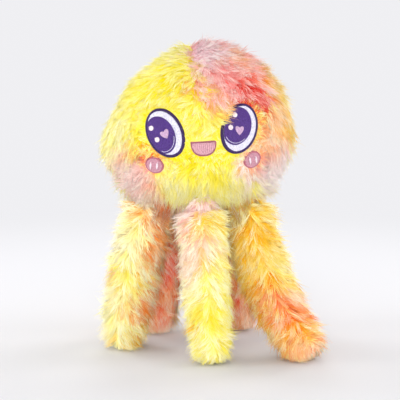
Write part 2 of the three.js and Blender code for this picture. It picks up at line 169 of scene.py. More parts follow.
# Fur
COVER_DEPTH = 3.4  # the fabric lies this far under the solids' surface
RECESS_SINK = 0.4  # and this much deeper under the embroidery
RECESS_EASE = 8.0  # and rises again over this distance from it
COVER_THICKNESS = 1.2
COVER_TIP = 0.6  # fabric has the colour of strands this far along them
BASE_TIP = 0.5
NECK_TIP = 0.4
COVER_TONE = 0.5
ROOT_SINK = 0.5  # strands start this far inside the fabric
LOCK_RADIUS = 1.6
LOCK_LENGTHS = (0.78, 1.15)  # least and most, as shares of the fur's length there
LOCK_LIFT_SPREAD = 0.16
LOCK_WAVE = 0.7  # how far a lock bends aside
LOCK_TONE = 0.76  # how much of a strand's tone is its lock's
STRANDS_PER_LOCK = 10
STRAND_WIDTH = 0.82
STRAND_WIDTHS = (0.75, 1.2)  # as shares of that
STRAND_LENGTHS = (0.72, 1.08)  # as shares of the lock's length
STRAND_SPREAD = 0.16  # how far a lock's strands differ in their ways
TIP_SPREAD = 0.35
GATHER = 0.72  # how far the tips of a lock come together
GATHERS = (0.6, 1.25)  # as shares of that
FINE_SHARE = 0.28  # of the strands, which are longer, thinner, looser and stand up more
FINE_LENGTH = 1.2
FINE_WIDTH = 0.55
FINE_GATHER = 0.5
FINE_LIFT = 0.22
EARLY_OUT = 0.75  # how far a strand's first half goes out of the surface
EARLY_ALONG = 0.8  # and along its lock
LEAST_LEFT = 0.3  # of a strand that reached too far
LEAST_TRIMMED = 0.2  # of a strand that would cross the embroidery
STRAND_PALENESS = 0.8
SOFT_SHADE = 0.45  # how much a strand is shaded as the surface that it grows on

# Colours as sRGB
PALETTE = {
    "lemon": 0xFFF024,
    "pale_lemon": 0xFFF69A,
    "gold": 0xFFD030,
    "amber": 0xFFB52A,
    "orange": 0xFF9848,
    "peach": 0xFFC08C,
    "coral": 0xFF7A5C,
    "red": 0xF04A38,
    "pink": 0xFFA8A2,
    "blush": 0xFFDAD4,
    "cream": 0xFFF4D6,
    "rose": 0xFFD8DE,
    "pale_blush": 0xFFEDEB,
    "pale_gold": 0xFFDA5C,
}


def linear(colour):
    """An sRGB colour, by name or number, as linear red, green and blue."""
    code = PALETTE.get(colour, colour)
    parts = np.array([(code >> shift) & 255 for shift in (16, 8, 0)]) / 255
    return tuple(np.where(parts <= 0.04045, parts / 12.92, ((parts + 0.055) / 1.055) ** 2.4))


def strand_colour(colour):
    """The colour of a strand of fur that looks this colour, which light deepens from strand to strand."""
    return tuple(np.array(linear(colour)) ** STRAND_PALENESS)


def unit(vectors):
    return vectors / np.maximum(np.linalg.norm(vectors, axis=-1, keepdims=True), TINY)


def smooth(values, start, end):
    """0 before start, 1 after end, and an even curve between them."""
    share = np.clip((values - start) / (end - start), 0, 1)
    return share * share * (3 - 2 * share)


def mix(a, b, share):
    return a + (b - a) * share


def along_surface(ways, normals):
    """Ways without the part of them that leaves the surface."""
    return ways - (ways * normals).sum(1, keepdims=True) * normals


def turns(count):
    """Angles spread evenly over a full turn."""
    return np.arange(count) * FULL_TURN / count


def wrapped(angles):
    """The same angles within half a turn of 0."""
    return (angles + math.pi) % FULL_TURN - math.pi


def turned(points, angle):
    """Flat points turned about the origin."""
    return points @ np.array(((math.cos(angle), math.sin(angle)), (-math.sin(angle), math.cos(angle))))


def round_axis(angles, radius, height):
    """Points at angles round the z axis."""
    flat = (radius * np.cos(angles), radius * np.sin(angles))
    return np.stack((*flat, np.broadcast_to(height, angles.shape)), 1)


def run_along(path):
    """How far each point of a path is from its start."""
    return np.concatenate(((0,), np.cumsum(np.linalg.norm(np.diff(path, axis=0), axis=1))))


# Places

base_low, base_high = (np.array(corner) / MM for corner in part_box("base_panel"))
BELL_PLACE = np.array((*(base_low + base_high)[:2] / 2, base_low[2] + SKIRT_DROP))


def slump(ways):
    """How much of the radius is left where the stuffing has slumped."""
    return 1 - SLUMP * smooth(ways @ unit(np.array(SLUMP_WAY)), SLUMP_COSINE, 1.0)


def bell_axes(z):
    """Half the size along x, y and z of the ellipsoid that the bell follows at heights z."""
    rise = np.where(np.asarray(z) < 0, SKIRT_CURVE, CROWN_RISE)
    return np.stack((np.full_like(rise, BELL_HALF_WIDTH), np.full_like(rise, BELL_HALF_DEPTH), rise), -1)


def bell(ways):
    """Points and normals on the bell, from unit vectors of the sphere that it is stretched from."""
    axes = bell_axes(ways[:, 2])
    return ways * axes * slump(ways)[:, None], unit(ways / axes)


class Patch:
    """A flat outline on the face: an ellipse, or the half of one under a flat upper edge."""

    def __init__(self, side, rise, half, tilt=0.0, smile=False):
        x, z = turned(np.array((side, rise - EYE_RISE)), FACE_ROLL) + (0, EYE_RISE)
        axes = bell_axes(z)
        y = -BELL_HALF_DEPTH * math.sqrt(1 - (x / axes[0]) ** 2 - (z / axes[2]) ** 2)
        point = np.array((x, y, z))
        out = unit(point / axes**2)
        right = unit(np.cross(UP, out))
        up = np.cross(out, right)
        turn = FACE_ROLL + tilt
        self.right = right * math.cos(turn) + up * math.sin(turn)
        self.up = up * math.cos(turn) - right * math.sin(turn)
        self.out = out
        self.origin = point - out * RECESS_DEPTH
        self.half = half
        self.smile = smile

    def flat(self, points):
        """Where points lie across and up the patch."""
        return (points - self.origin) @ self.right, (points - self.origin) @ self.up

    def gap(self, points):
        """How far points are outside the outline, less than 0 inside it."""
        across, up = self.flat(points)
        reach = np.maximum(np.hypot(across, up), TINY)
        gap = reach - reach / np.hypot(across / self.half[0], up / self.half[1])
        if self.smile:
            above = np.hypot(np.maximum(np.abs(across) - self.half[0], 0), up)
            gap = np.where(up > 0, above, np.maximum(gap, up))
        return gap

    def away(self, points):
        """The way out of the outline at points near it."""
        across, up = self.flat(points)
        side, rise = across / self.half[0] ** 2, up / self.half[1] ** 2
        if self.smile:
            side = np.where(up > 0, 0, side)
            rise = np.where(up > 0, 1, rise)
        return unit(side[:, None] * self.right + rise[:, None] * self.up)

    def place(self, local):
        """Shared-frame points for places across, up and out of the patch, which curves with the head."""
        bent = local[:, 2] - DOME * (local[:, 0] ** 2 + local[:, 1] ** 2)
        own = local[:, :1] * self.right + local[:, 1:2] * self.up + bent[:, None] * self.out
        return own + self.origin + BELL_PLACE


PATCHES = {
    name + "_eye": Patch(each["side"] * EYE_SIDE, EYE_RISE, each["half"], -each["side"] * EYE_TILT)
    for name, each in EYES.items()
}
PATCHES["mouth"] = Patch(0, MOUTH_RISE, (MOUTH_HALF_WIDTH, MOUTH_DEPTH), smile=True)
for name, each in EYES.items():
    PATCHES[name + "_cheek"] = Patch(each["side"] * CHEEK_SIDE, CHEEK_RISE, CHEEK_HALF)


def nearest_patch(points):
    """The gap from points to the embroidery, and the way out of it there."""
    least = np.full(len(points), FAR)
    away = np.zeros_like(points)
    for patch in PATCHES.values():
        gap = patch.gap(points)
        gap[points[:, 1] > 0] = FAR
        nearer = gap < least
        least[nearer] = gap[nearer]
        away[nearer] = patch.away(points)[nearer]
    return least, away


class MiddleLine:
    """A tentacle's middle line from its neck, an arc to the middle of the tip, and the outline round it."""

    def __init__(self, name):
        joint = next(j for j in frame["joints"] if j["name"] == name + "_sway")
        tilts = [math.radians(tilt) for tilt in TENTACLES[name]["tilts"]]
        self.hinge = np.array(joint["pos_m"]) / MM
        self.out = unit(np.array(joint["axis"], float))
        self.across = np.cross(UP, self.out)
        self.first = tilts[0]
        self.turn = tilts[1] - tilts[0]
        self.reach = TIP_DROP / (np.sinc(self.turn / 2 / math.pi) * math.cos(self.first + self.turn / 2))
        bulge = 2 * BELLY_RADIUS - (SHOULDER_RADIUS + TIP_RADIUS) / 2
        t = np.linspace(0, 1, SIDE_ROWS)
        side = (
            SHOULDER_RADIUS * (1 - t) ** 2 + 2 * bulge * t * (1 - t) + TIP_RADIUS * t**2,
            mix(SHOULDER_DROP, self.reach, t),
        )
        cap = np.linspace(0, math.pi / 2, TIP_ROWS)[1:]
        radius = np.concatenate(((MOUTH_RADIUS,), side[0], TIP_RADIUS * np.cos(cap)))
        length = np.concatenate(((MOUTH_DROP,), side[1], self.reach + TIP_RADIUS * np.sin(cap)))
        self.profile = np.stack((radius, length), 1)
        self.run = run_along(self.profile)

    def frame_at(self, length):
        """The point of the line at lengths along it, with the ways out from it and along it."""
        along = np.minimum(length, self.reach)
        turn = self.turn * along / self.reach
        chord = along * np.sinc(turn / 2 / math.pi)
        tilt = self.first + turn
        out = chord * np.sin(self.first + turn / 2) + (length - along) * np.sin(tilt)
        drop = chord * np.cos(self.first + turn / 2) + (length - along) * np.cos(tilt)
        point = self.hinge + out[:, None] * self.out - drop[:, None] * UP
        ahead = np.cos(tilt)[:, None] * self.out + np.sin(tilt)[:, None] * UP
        down = np.sin(tilt)[:, None] * self.out - np.cos(tilt)[:, None] * UP
        return point, ahead, down

    def place(self, radius, angle, length):
        point, ahead, _ = self.frame_at(length)
        outward = np.cos(angle)[:, None] * ahead + np.sin(angle)[:, None] * self.across
        return point + radius[:, None] * outward

    def outline(self, run):
        """The radius and the length along the line at places along the outline."""
        return [np.interp(run, self.run, values) for values in self.profile.T]

    def at(self, run, angle):
        """Points and normals on the outline, and the ways down and round there."""
        radius, length = self.outline(run)
        ends = zip(self.outline(run - SLOPE_STEP), self.outline(run + SLOPE_STEP))
        widening, forward = (after - before for before, after in ends)
        point, ahead, down = self.frame_at(length)
        outward = np.cos(angle)[:, None] * ahead + np.sin(angle)[:, None] * self.across
        around = -np.sin(angle)[:, None] * ahead + np.cos(angle)[:, None] * self.across
        normal = unit(forward[:, None] * outward - widening[:, None] * down)
        onward = unit(forward[:, None] * down + widening[:, None] * outward)
        return point + radius[:, None] * outward, normal, onward, around


LINES = {name: MiddleLine(name) for name in TENTACLES}


# Meshes


def add_object(name, data):
    made = bpy.data.objects.new(name, data)
    bpy.context.scene.collection.objects.link(made)
    return made


def make_object(name, points, faces, attributes=None):
    """A mesh object from points in millimetres in the shared frame."""
    mesh = bpy.data.meshes.new(name)
    mesh.from_pydata((np.asarray(points) * MM).tolist(), [], faces)
    mesh.validate()
    mesh.polygons.foreach_set("use_smooth", [True] * len(mesh.polygons))
    for key, values in (attributes or {}).items():
        write_attribute(mesh, key, values)
    return add_object(name, mesh)


def write_attribute(mesh, name, values):
    values = np.asarray(values, np.float32)
    if values.ndim == 2:
        mesh.attributes.new(name, "FLOAT_VECTOR", "POINT").data.foreach_set("vector", values.ravel())
    else:
        mesh.attributes.new(name, "FLOAT", "POINT").data.foreach_set("value", values)


def fur_facts(points, tip=COVER_TIP):
    """What the fur's colour reads, for fabric with no strands of its own."""
    count = len(points)
    return {"root": np.asarray(points) * MM, "tip": np.full(count, tip), "tone": np.full(count, COVER_TONE)}


def shell(points, faces, normals, thickness):
    """An open surface given a thickness behind it and closed round its edges."""
    count = len(points)
    used = {}
    for face in faces:
        for a, b in zip(face, face[1:] + face[:1]):
            used[(a, b)] = True
    edges = [(a, b) for a, b in used if (b, a) not in used]
    behind = [tuple(i + count for i in reversed(face)) for face in faces]
    sides = [(b, a, a + count, b + count) for a, b in edges]
    return np.concatenate((points, points - normals * thickness)), list(faces) + behind + sides


# Strands of fur. Each is a closed, three-sided point with a bend halfway along.

STRAND_CORNERS = 7
CAP = (0, 2, 1)
SIDES = ((0, 1, 4, 3), (1, 2, 5, 4), (2, 0, 3, 5))
POINTS = ((3, 4, 6), (4, 5, 6), (5, 3, 6))
STRAND_FACES = (CAP, *SIDES, *POINTS)
STRAND_LOOPS = np.array([corner for face in STRAND_FACES for corner in face])
STRAND_SIZES = np.array([len(face) for face in STRAND_FACES])
STRAND_ALONG = (0, 0, 0, 0.5, 0.5, 0.5, 1)  # how far along the strand each corner is
BEND_WIDTH = 0.8  # at the bend, as a share of the width at the root
TWIST_SPREAD = 0.3

# Where a strand's faces lie in its own square of the map
MAP_MARGIN = 0.03
MAP_GAP = 0.02
MAP_CAP = ((0.05, 0.01), (0.95, 0.01), (0.5, 0.1))
MAP_SIDES = (0.14, 0.6)
MAP_POINTS = (0.62, 0.98)


def strand_map():
    """Where each corner of a strand's faces lies in its own square of the map."""
    low, high = MAP_SIDES
    foot, top = MAP_POINTS
    sides, points = [], []
    for k in range(3):
        left, right = k / 3 + MAP_GAP, (k + 1) / 3 - MAP_GAP
        sides += [(left, low), (right, low), (right, high), (left, high)]
        points += [(left, foot), (right, foot), ((left + right) / 2, top)]
    return np.array([*MAP_CAP, *sides, *points])


def strands_object(name, fur, seed):
    """One mesh of all the strands of a piece of fur."""
    rng = np.random.default_rng(seed)
    root, bend, tip = fur["root"], fur["bend"], fur["tip"]
    count = len(root)
    axis = unit(tip - root)
    side = unit(np.cross(axis, fur["normal"] + rng.normal(0, TWIST_SPREAD, root.shape)))
    across = np.cross(axis, side)
    angles = rng.uniform(0, FULL_TURN, count)[:, None] + turns(3)
    ring = np.cos(angles)[..., None] * side[:, None] + np.sin(angles)[..., None] * across[:, None]
    ring *= fur["width"][:, None, None] / 2
    corners = np.empty((count, STRAND_CORNERS, 3))
    corners[:, 0:3] = root[:, None] + ring
    corners[:, 3:6] = bend[:, None] + ring * BEND_WIDTH
    corners[:, 6] = tip

    mesh = bpy.data.meshes.new(name)
    mesh.vertices.add(count * STRAND_CORNERS)
    mesh.vertices.foreach_set("co", (corners * MM).astype(np.float32).ravel())
    loops = (np.arange(count)[:, None] * STRAND_CORNERS + STRAND_LOOPS).ravel()
    mesh.loops.add(len(loops))
    mesh.loops.foreach_set("vertex_index", loops.astype(np.int32))
    sizes = np.tile(STRAND_SIZES, count)
    mesh.polygons.add(len(sizes))
    mesh.polygons.foreach_set("loop_start", (np.cumsum(sizes) - sizes).astype(np.int32))
    mesh.polygons.foreach_set("use_smooth", np.ones(len(sizes), bool))
    cells = math.ceil(math.sqrt(count))
    cell = np.stack((np.arange(count) % cells, np.arange(count) // cells), 1)
    places = (cell[:, None] + MAP_MARGIN + strand_map() * (1 - 2 * MAP_MARGIN)) / cells
    mesh.uv_layers.new(name="OFBake").data.foreach_set("uv", places.astype(np.float32).ravel())
    write_attribute(mesh, "root", np.repeat(root * MM, STRAND_CORNERS, axis=0))
    write_attribute(mesh, "tip", np.tile(STRAND_ALONG, count))
    write_attribute(mesh, "tone", np.repeat(fur["tone"], STRAND_CORNERS))
    mesh.update(calc_edges=True)
    mesh.validate()
    facing = np.repeat(fur["normal"][:, None], STRAND_CORNERS, axis=1)
    own = np.concatenate((unit(ring), unit(ring), axis[:, None]), 1)
    mesh.normals_split_custom_set_from_vertices(unit(mix(own, facing, SOFT_SHADE)).reshape(-1, 3).tolist())
    return add_object(name, mesh)


SWIRL_WAVES = 8
SWIRL_SIZES = (0.7, 1.5)


class Swirl:
    """A smooth random field of vectors with features of about one size."""

    def __init__(self, seed, size):
        rng = np.random.default_rng(seed)
        ways = unit(rng.normal(size=(SWIRL_WAVES, 3)))
        self.waves = ways * rng.uniform(*SWIRL_SIZES, (SWIRL_WAVES, 1)) * FULL_TURN / size
        self.phases = rng.uniform(0, FULL_TURN, SWIRL_WAVES)
        self.turns = rng.normal(size=(SWIRL_WAVES, 3)) / math.sqrt(SWIRL_WAVES)

    def __call__(self, points):
        return np.sin(points @ self.waves.T + self.phases) @ self.turns


WIDE_SWIRL = Swirl(seed=5, size=60)
FINE_SWIRL = Swirl(seed=6, size=22)


def strand_locks(count):
    """The lock that each strand belongs to."""
    return np.repeat(np.arange(count), STRANDS_PER_LOCK)


def comb(lock, strand, rng):
    """Strands that gather into locks. lock and strand hold points and normals, and for each lock its nap, a
    way in the surface, its length, its lift off the surface and how ruffled it is. Each strand belongs to
    lock strand["of"]."""
    count = len(lock["point"])
    nap = unit(lock["nap"] + lock["ruffle"] * rng.normal(0, 1, (count, 3)))
    nap = unit(along_surface(nap, lock["normal"]))
    lift = lock["lift"] + rng.normal(0, LOCK_LIFT_SPREAD, count)
    length = lock["length"] * rng.uniform(*LOCK_LENGTHS, count)
    way = np.sin(lift)[:, None] * lock["normal"] + np.cos(lift)[:, None] * nap
    end = lock["point"] + way * length[:, None]
    lock_tone = rng.uniform(0, 1, count)

    of, root, normal = strand["of"], strand["point"], strand["normal"]
    total = len(of)
    fine = rng.random(total) < FINE_SHARE
    own_length = length[of] * rng.uniform(*STRAND_LENGTHS, total) * np.where(fine, FINE_LENGTH, 1)
    rise = (FINE_LIFT * fine)[:, None] * normal
    own_way = unit(way[of] + rise + rng.normal(0, STRAND_SPREAD, (total, 3)))
    own_end = root + own_way * own_length[:, None]
    shared = end[of] + rng.normal(0, TIP_SPREAD, (total, 3)) - way[of] * (length[of] - own_length)[:, None]
    gather = GATHER * rng.uniform(*GATHERS, total) * np.where(fine, FINE_GATHER, 1)
    tip = mix(own_end, shared, gather[:, None])
    early = unit(EARLY_OUT * normal + EARLY_ALONG * way[of])
    halfway = mix(mix(root, tip, 0.5), root + early * own_length[:, None] / 2, 0.5)
    return {
        "root": root,
        "bend": halfway + rng.normal(0, LOCK_WAVE, (count, 3))[of],
        "tip": tip,
        "normal": normal,
        "width": STRAND_WIDTH * rng.uniform(*STRAND_WIDTHS, total) * np.where(fine, FINE_WIDTH, 1),
        "tone": mix(rng.uniform(0, 1, total), lock_tone[of], LOCK_TONE),
    }


def some_of(fur, keep):
    return {key: values[keep] for key, values in fur.items()}


def shortened(fur, share):
    """Fur with a share of each strand left."""
    left = {key: mix(fur["root"], fur[key], share[:, None]) for key in ("bend", "tip")}
    return {**fur, **left}


def within_room(fur):
    """Fur in the shared frame with the strands shortened that reach too far past the solids."""
    reach = np.maximum(np.abs(fur["tip"] - fur["root"]), TINY)
    over = np.maximum(fur["tip"] - ROOM[1], ROOM[0] - fur["tip"])
    return shortened(fur, np.clip(1 - np.max(np.clip(over, 0, None) / reach, axis=1), LEAST_LEFT, 1))


def sphere_lattice(count):
    """Unit vectors spread evenly over a sphere."""
    index = np.arange(count) + 0.5
    height = 1 - 2 * index / count
    return round_axis(index * GOLDEN_TURN, np.sqrt(1 - height**2), height)


# Fur of the bell, with places in its axes

PANEL_RUFFLES = {"face": 0.26, "crown_left": 0.26, "crown_right": 0.38, "back_left": 0.28, "back_right": 0.3}
PANELS = tuple(PANEL_RUFFLES)
FACE, CROWN_LEFT, CROWN_RIGHT, BACK_LEFT, BACK_RIGHT = range(len(PANELS))
BELL_LOCKS = 10500  # on the whole sphere that the bell is stretched from
BELL_JITTER = 0.008
ROOT_GAP = 0.6  # between the roots and the embroidery
TIP_GAP = 0.5

# The way it lies
FACE_FAN = (0.4, 0.85)  # how far it fans out on the face, more so higher up and at the sides
FAN_HEIGHTS = (-8, 16)
FAN_SIDES = (30, 60)
FAN_MIDDLE = 1
FAN_WIDTH = 20
LEFT_ASIDE = -0.9  # how far it lies aside on the left of the crown
RIGHT_ASIDE = (0.3, 0.75)  # and on the right, more so farther out
RIGHT_SIDES = (0, 50)
CROWN_FORWARD = -0.3
CROWN_DOWN = -0.55
BACK_FAN = 0.4
BACK_WIDTH = 25
BACK_OUT = 0.3
BELL_SWIRL = 0.35

# Its length and lift
CHEEK_SIDES = (38, 70)
CHIN_DROPS = (4, 32)
CHIN_FRONTS = (10, 45)
RIM_DROPS = (24, 38)
FACE_LENGTHS = (14.0, 16.0)  # in the middle and beside the cheeks
CROWN_LENGTH = 17.5
BACK_LENGTH = 16.5
LEFT_SIDES = (20, 70)
LEFT_LONGER = 0.12
SLUMP_PLACES = (70, 100)  # how far up and left the slump is
SLUMP_SHORTER = 0.3
RIM_LONGER = 5
FACE_LIFTS = (0.2, 0.3)
BELL_LIFT = 0.28
CROWN_RIGHT_LIFT = 0.31
CHIN_LIFT = 0.6
RIM_LIFT = 0.95
SEAM_WIDTH = 8  # of the parting along the crown's seam
SEAM_SHORTER = 0.25
SEAM_LIFT = 0.45

# Round the embroidery
NEAR_GAPS = (3, 14)
NEAR_AWAY = 0.92  # how far it turns away from the embroidery
NEAR_LIFT = 0.34
SHORT_GAPS = (1, 17)
SHORTEST = 0.4
# Fur that strays over it: the way that it lies, how much of it, and where it grows, in x and z
STRAYS = (((0.9, 0.0, -0.45), 1.0, (10, 21), (19, 33)),)
STRAY_GAP = 11.0
STRAY_LIFT = 0.8


def panel_of(points):
    """Which panel each point of the bell is on, as a place in PANELS."""
    x, y, z = points.T
    crown = np.where(x < CROWN_SEAM, CROWN_LEFT, CROWN_RIGHT)
    back = np.where(x < BACK_SEAM, BACK_LEFT, BACK_RIGHT)
    return np.where(y > SIDE_SEAM, back, np.where(z > BROW_SEAM, crown, FACE))


def cover_depth(points):
    """How deep under the solids' surface the fabric lies: deeper under the embroidery."""
    gap, _ = nearest_patch(points)
    return COVER_DEPTH + RECESS_SINK * (1 - smooth(gap, 0, RECESS_EASE))


def free_nap(points, normals, panel):
    """How the fur would lie on a bell with no embroidery: its nap, length and lift."""
    x, y, z = points.T
    face = panel == FACE
    crown = (panel == CROWN_LEFT) | (panel == CROWN_RIGHT)
    zero = np.zeros_like(x)
    fan = mix(*FACE_FAN, np.maximum(smooth(z, *FAN_HEIGHTS), smooth(np.abs(x), *FAN_SIDES)))
    from_face = np.stack((fan * np.tanh((x - FAN_MIDDLE) / FAN_WIDTH), zero, zero - 1), 1)
    aside = np.where(panel == CROWN_LEFT, LEFT_ASIDE, mix(*RIGHT_ASIDE, smooth(x, *RIGHT_SIDES)))
    from_crown = np.stack((aside, zero + CROWN_FORWARD, zero + CROWN_DOWN), 1)
    from_back = np.stack((BACK_FAN * np.tanh(x / BACK_WIDTH), zero + BACK_OUT, zero - 1), 1)
    nap = np.where(face[:, None], from_face, np.where(crown[:, None], from_crown, from_back))
    nap = nap + BELL_SWIRL * WIDE_SWIRL(points) + BELL_SWIRL * FINE_SWIRL(points)

    beside = smooth(np.abs(x), *CHEEK_SIDES)
    chin = smooth(-z, *CHIN_DROPS) * smooth(-y, *CHIN_FRONTS)
    rim = smooth(-z, *RIM_DROPS)
    parted = crown * np.exp(-(((x - CROWN_SEAM) / SEAM_WIDTH) ** 2))
    length = np.where(face, mix(*FACE_LENGTHS, beside), np.where(crown, CROWN_LENGTH, BACK_LENGTH))
    length = length * (1 + LEFT_LONGER * smooth(-x, *LEFT_SIDES))
    length = length * (1 - SLUMP_SHORTER * smooth(z - x, *SLUMP_PLACES))
    length = (length + RIM_LONGER * np.maximum(chin, rim)) * (1 - SEAM_SHORTER * parted)
    lift = np.where(panel == CROWN_RIGHT, CROWN_RIGHT_LIFT, BELL_LIFT)
    lift = np.where(face, mix(*FACE_LIFTS, beside), lift)
    lift = mix(mix(mix(lift, CHIN_LIFT, chin), RIM_LIFT, rim), SEAM_LIFT, parted)
    return unit(along_surface(nap, normals)), length, lift


def bell_nap(points, normals, panel, rng):
    """How the fur lies on the bell: its nap, length and lift, and whether it strays over the embroidery."""
    x, y, z = points.T
    nap, length, lift = free_nap(points, normals, panel)
    gap, away = nearest_patch(points)
    away = along_surface(away, normals)
    stray = np.zeros(len(x), bool)
    for toward, chance, (x_low, x_high), (z_low, z_high) in STRAYS:
        chosen = rng.random(len(x)) < chance
        over = chosen & (x > x_low) & (x < x_high) & (z > z_low) & (z < z_high) & (y < 0)
        stray |= over
        nap = np.where(over[:, None], unit(np.array(toward)), nap)
        gap = np.where(over, STRAY_GAP, gap)
        away = np.where(over[:, None], nap, away)
    near = 1 - smooth(gap, *NEAR_GAPS)
    nap = unit(mix(nap, away, NEAR_AWAY * near[:, None]))
    length = length * mix(1, SHORTEST, 1 - smooth(gap, *SHORT_GAPS))
    lift = np.where(stray, STRAY_LIFT, mix(lift, NEAR_LIFT, near))
    return unit(along_surface(nap, normals)), length, lift, stray


def trimmed(fur, stray):
    """Fur of the bell with the strands cut short that would cross the embroidery, apart from stray ones."""
    start, _ = nearest_patch(fur["root"])
    end, _ = nearest_patch(fur["tip"])
    share = np.clip((start - TIP_GAP) / np.maximum(start - end, TINY), LEAST_TRIMMED, 1)
    return shortened(fur, np.where((end < TIP_GAP) & ~stray, share, 1))


def bell_fur(rng):
    """All the strands of the bell, with the panel that each is on."""
    ways = sphere_lattice(BELL_LOCKS)
    ways = unit(ways + rng.normal(0, BELL_JITTER, ways.shape))
    ways = ways[ways[:, 2] > RIM_COSINE]
    points, normals = bell(ways)
    panel = panel_of(points)
    nap, length, lift, stray = bell_nap(points, normals, panel, rng)
    lock = {
        "point": points - normals * COVER_DEPTH,
        "normal": normals,
        "nap": nap,
        "length": length,
        "lift": lift,
        "ruffle": np.array(tuple(PANEL_RUFFLES.values()))[panel][:, None],
    }
    of = strand_locks(len(ways))
    near = unit(ways[of] + rng.normal(0, LOCK_RADIUS / BELL_HALF_WIDTH, (len(of), 3)))
    near[:, 2] = np.maximum(near[:, 2], RIM_COSINE)
    points, normals = bell(unit(near))
    gap, _ = nearest_patch(points)
    keep = gap > ROOT_GAP
    depth = cover_depth(points) + ROOT_SINK
    strand = {"point": points - normals * depth[:, None], "normal": normals, "of": of}
    fur = comb(lock, some_of(strand, keep), rng)
    return trimmed(fur, stray[of][keep]), panel[of][keep]


def in_shared_frame(fur):
    """Fur from the bell's axes in the shared frame."""
    return within_room({k: v + BELL_PLACE if k in ("root", "bend", "tip") else v for k, v in fur.items()})


# Fur of the base, with lengths and lifts in its middle, at its edge by a neck, and at its edge between two

BASE_LOCKS = 620
BASE_LENGTHS = (9.0, 19.0, 34.0)
BASE_LIFTS = (0.6, 1.1, 1.25)
BASE_RUFFLE = 0.3
BASE_SWIRL = 0.4
BASE_EDGE = (0.6, 0.95)  # as shares of the way out
NECK_SIDES = (0.2, 0.55)  # how far round from a neck, in radians


def base_fur(half, rng):
    """The pile under the bell, long round its edge, where it hangs between the tentacles."""
    share = np.sqrt((np.arange(BASE_LOCKS) + 0.5) / BASE_LOCKS)
    angle = np.arange(BASE_LOCKS) * GOLDEN_TURN
    out = round_axis(angle, 1.0, 0.0)
    point = out * share[:, None] * (*half, 0) - (0, 0, SKIRT_DROP)
    normal = np.tile(-UP, (BASE_LOCKS, 1))
    edge = smooth(share, *BASE_EDGE)
    between = np.ones(BASE_LOCKS)
    for line in LINES.values():
        x, y, _ = (line.hinge - BELL_PLACE) / (*half, 1)
        between *= smooth(np.abs(wrapped(angle - math.atan2(y, x))), *NECK_SIDES)
    length, lift = (mix(inside, mix(*ends, between), edge) for inside, *ends in (BASE_LENGTHS, BASE_LIFTS))
    lock = {
        "point": point,
        "normal": normal,
        "nap": out + BASE_SWIRL * FINE_SWIRL(point) * (1, 1, 0),
        "length": length,
        "lift": lift,
        "ruffle": BASE_RUFFLE,
    }
    of = strand_locks(BASE_LOCKS)
    near = point[of] + rng.normal(0, LOCK_RADIUS, (len(of), 3)) * (1, 1, 0) + (0, 0, ROOT_SINK)
    return comb(lock, {"point": near, "normal": normal[of], "of": of}, rng)


# Fur of the tentacles

SLEEVE_LOCKS = 1650
SLEEVE_JITTER = 0.05
SLEEVE_RUFFLE = 0.28
SLEEVE_FINE_SWIRL = 0.3
SLEEVE_WIDE_SWIRL = 0.2
PARTING_WANDER = 0.12  # how far the parting wanders, in radians
PARTING_WAVE = 9.0
ASIDE = 0.95  # how far the fur lies to the sides of the parting
ASIDE_START = 0.12
ASIDE_FADE = 0.7
TIP_START = 26  # the fur of the tip starts this far before its end
TIP_FULL = 4
SLEEVE_MOUTH = (2, 16)
SLEEVE_MOUTH_LIFT = 0.7
LEAST_RADIUS = 3
FLOOR_GAP = 0.4  # strands keep this far off the floor
FLOOR_SPREAD = 1.2
NECK_LOCKS = 130
NECK_LENGTH = 12.0
NECK_LIFT = 0.7
NECK_RUFFLE = 0.3


def sleeve_fur(name, line, rng):
    """Fur that runs down a sleeve and to both sides of a parting."""
    widths = (line.profile[1:, 0] + line.profile[:-1, 0]) / 2
    area = np.concatenate(((0,), np.cumsum(np.diff(line.run) * widths)))
    share = (np.arange(SLEEVE_LOCKS) + 0.5) / SLEEVE_LOCKS
    run = np.interp(share * area[-1], area, line.run)
    whole = line.run[-1]
    angle = np.arange(SLEEVE_LOCKS) * GOLDEN_TURN + rng.normal(0, SLEEVE_JITTER, SLEEVE_LOCKS)
    point, normal, onward, around = line.at(run, angle)
    start, end = (math.radians(each) for each in TENTACLES[name]["parting"])
    off = wrapped(angle - (mix(start, end, run / whole) + PARTING_WANDER * np.sin(run / PARTING_WAVE)))
    aside = ASIDE * np.sign(off) * (1 - np.exp(-np.abs(off) / ASIDE_START)) * np.cos(off / 2) ** ASIDE_FADE
    nap = onward + aside[:, None] * around
    nap = nap + SLEEVE_FINE_SWIRL * FINE_SWIRL(point) + SLEEVE_WIDE_SWIRL * WIDE_SWIRL(point)
    lock = {
        "point": point - normal * COVER_DEPTH,
        "normal": normal,
        "nap": unit(along_surface(nap, normal)),
        "length": mix(*TENTACLES[name]["fur"], smooth(run, whole - TIP_START, whole - TIP_FULL)),
        "lift": mix(TENTACLES[name]["lift"], SLEEVE_MOUTH_LIFT, 1 - smooth(run, *SLEEVE_MOUTH)),
        "ruffle": SLEEVE_RUFFLE,
    }
    of = strand_locks(SLEEVE_LOCKS)
    near_run = np.clip(run[of] + rng.normal(0, LOCK_RADIUS, len(of)), 0, whole)
    radius = np.maximum(line.outline(near_run)[0], LEAST_RADIUS)
    near_angle = angle[of] + rng.normal(0, LOCK_RADIUS, len(of)) / radius
    point, normal, _, _ = line.at(near_run, near_angle)
    strand = {"point": point - normal * (COVER_DEPTH + ROOT_SINK), "normal": normal, "of": of}
    fur = comb(lock, strand, rng)
    for key in ("bend", "tip"):
        fur[key][:, 2] = np.maximum(fur[key][:, 2], FLOOR_GAP + rng.uniform(0, FLOOR_SPREAD, len(of)))
    return within_room(fur)


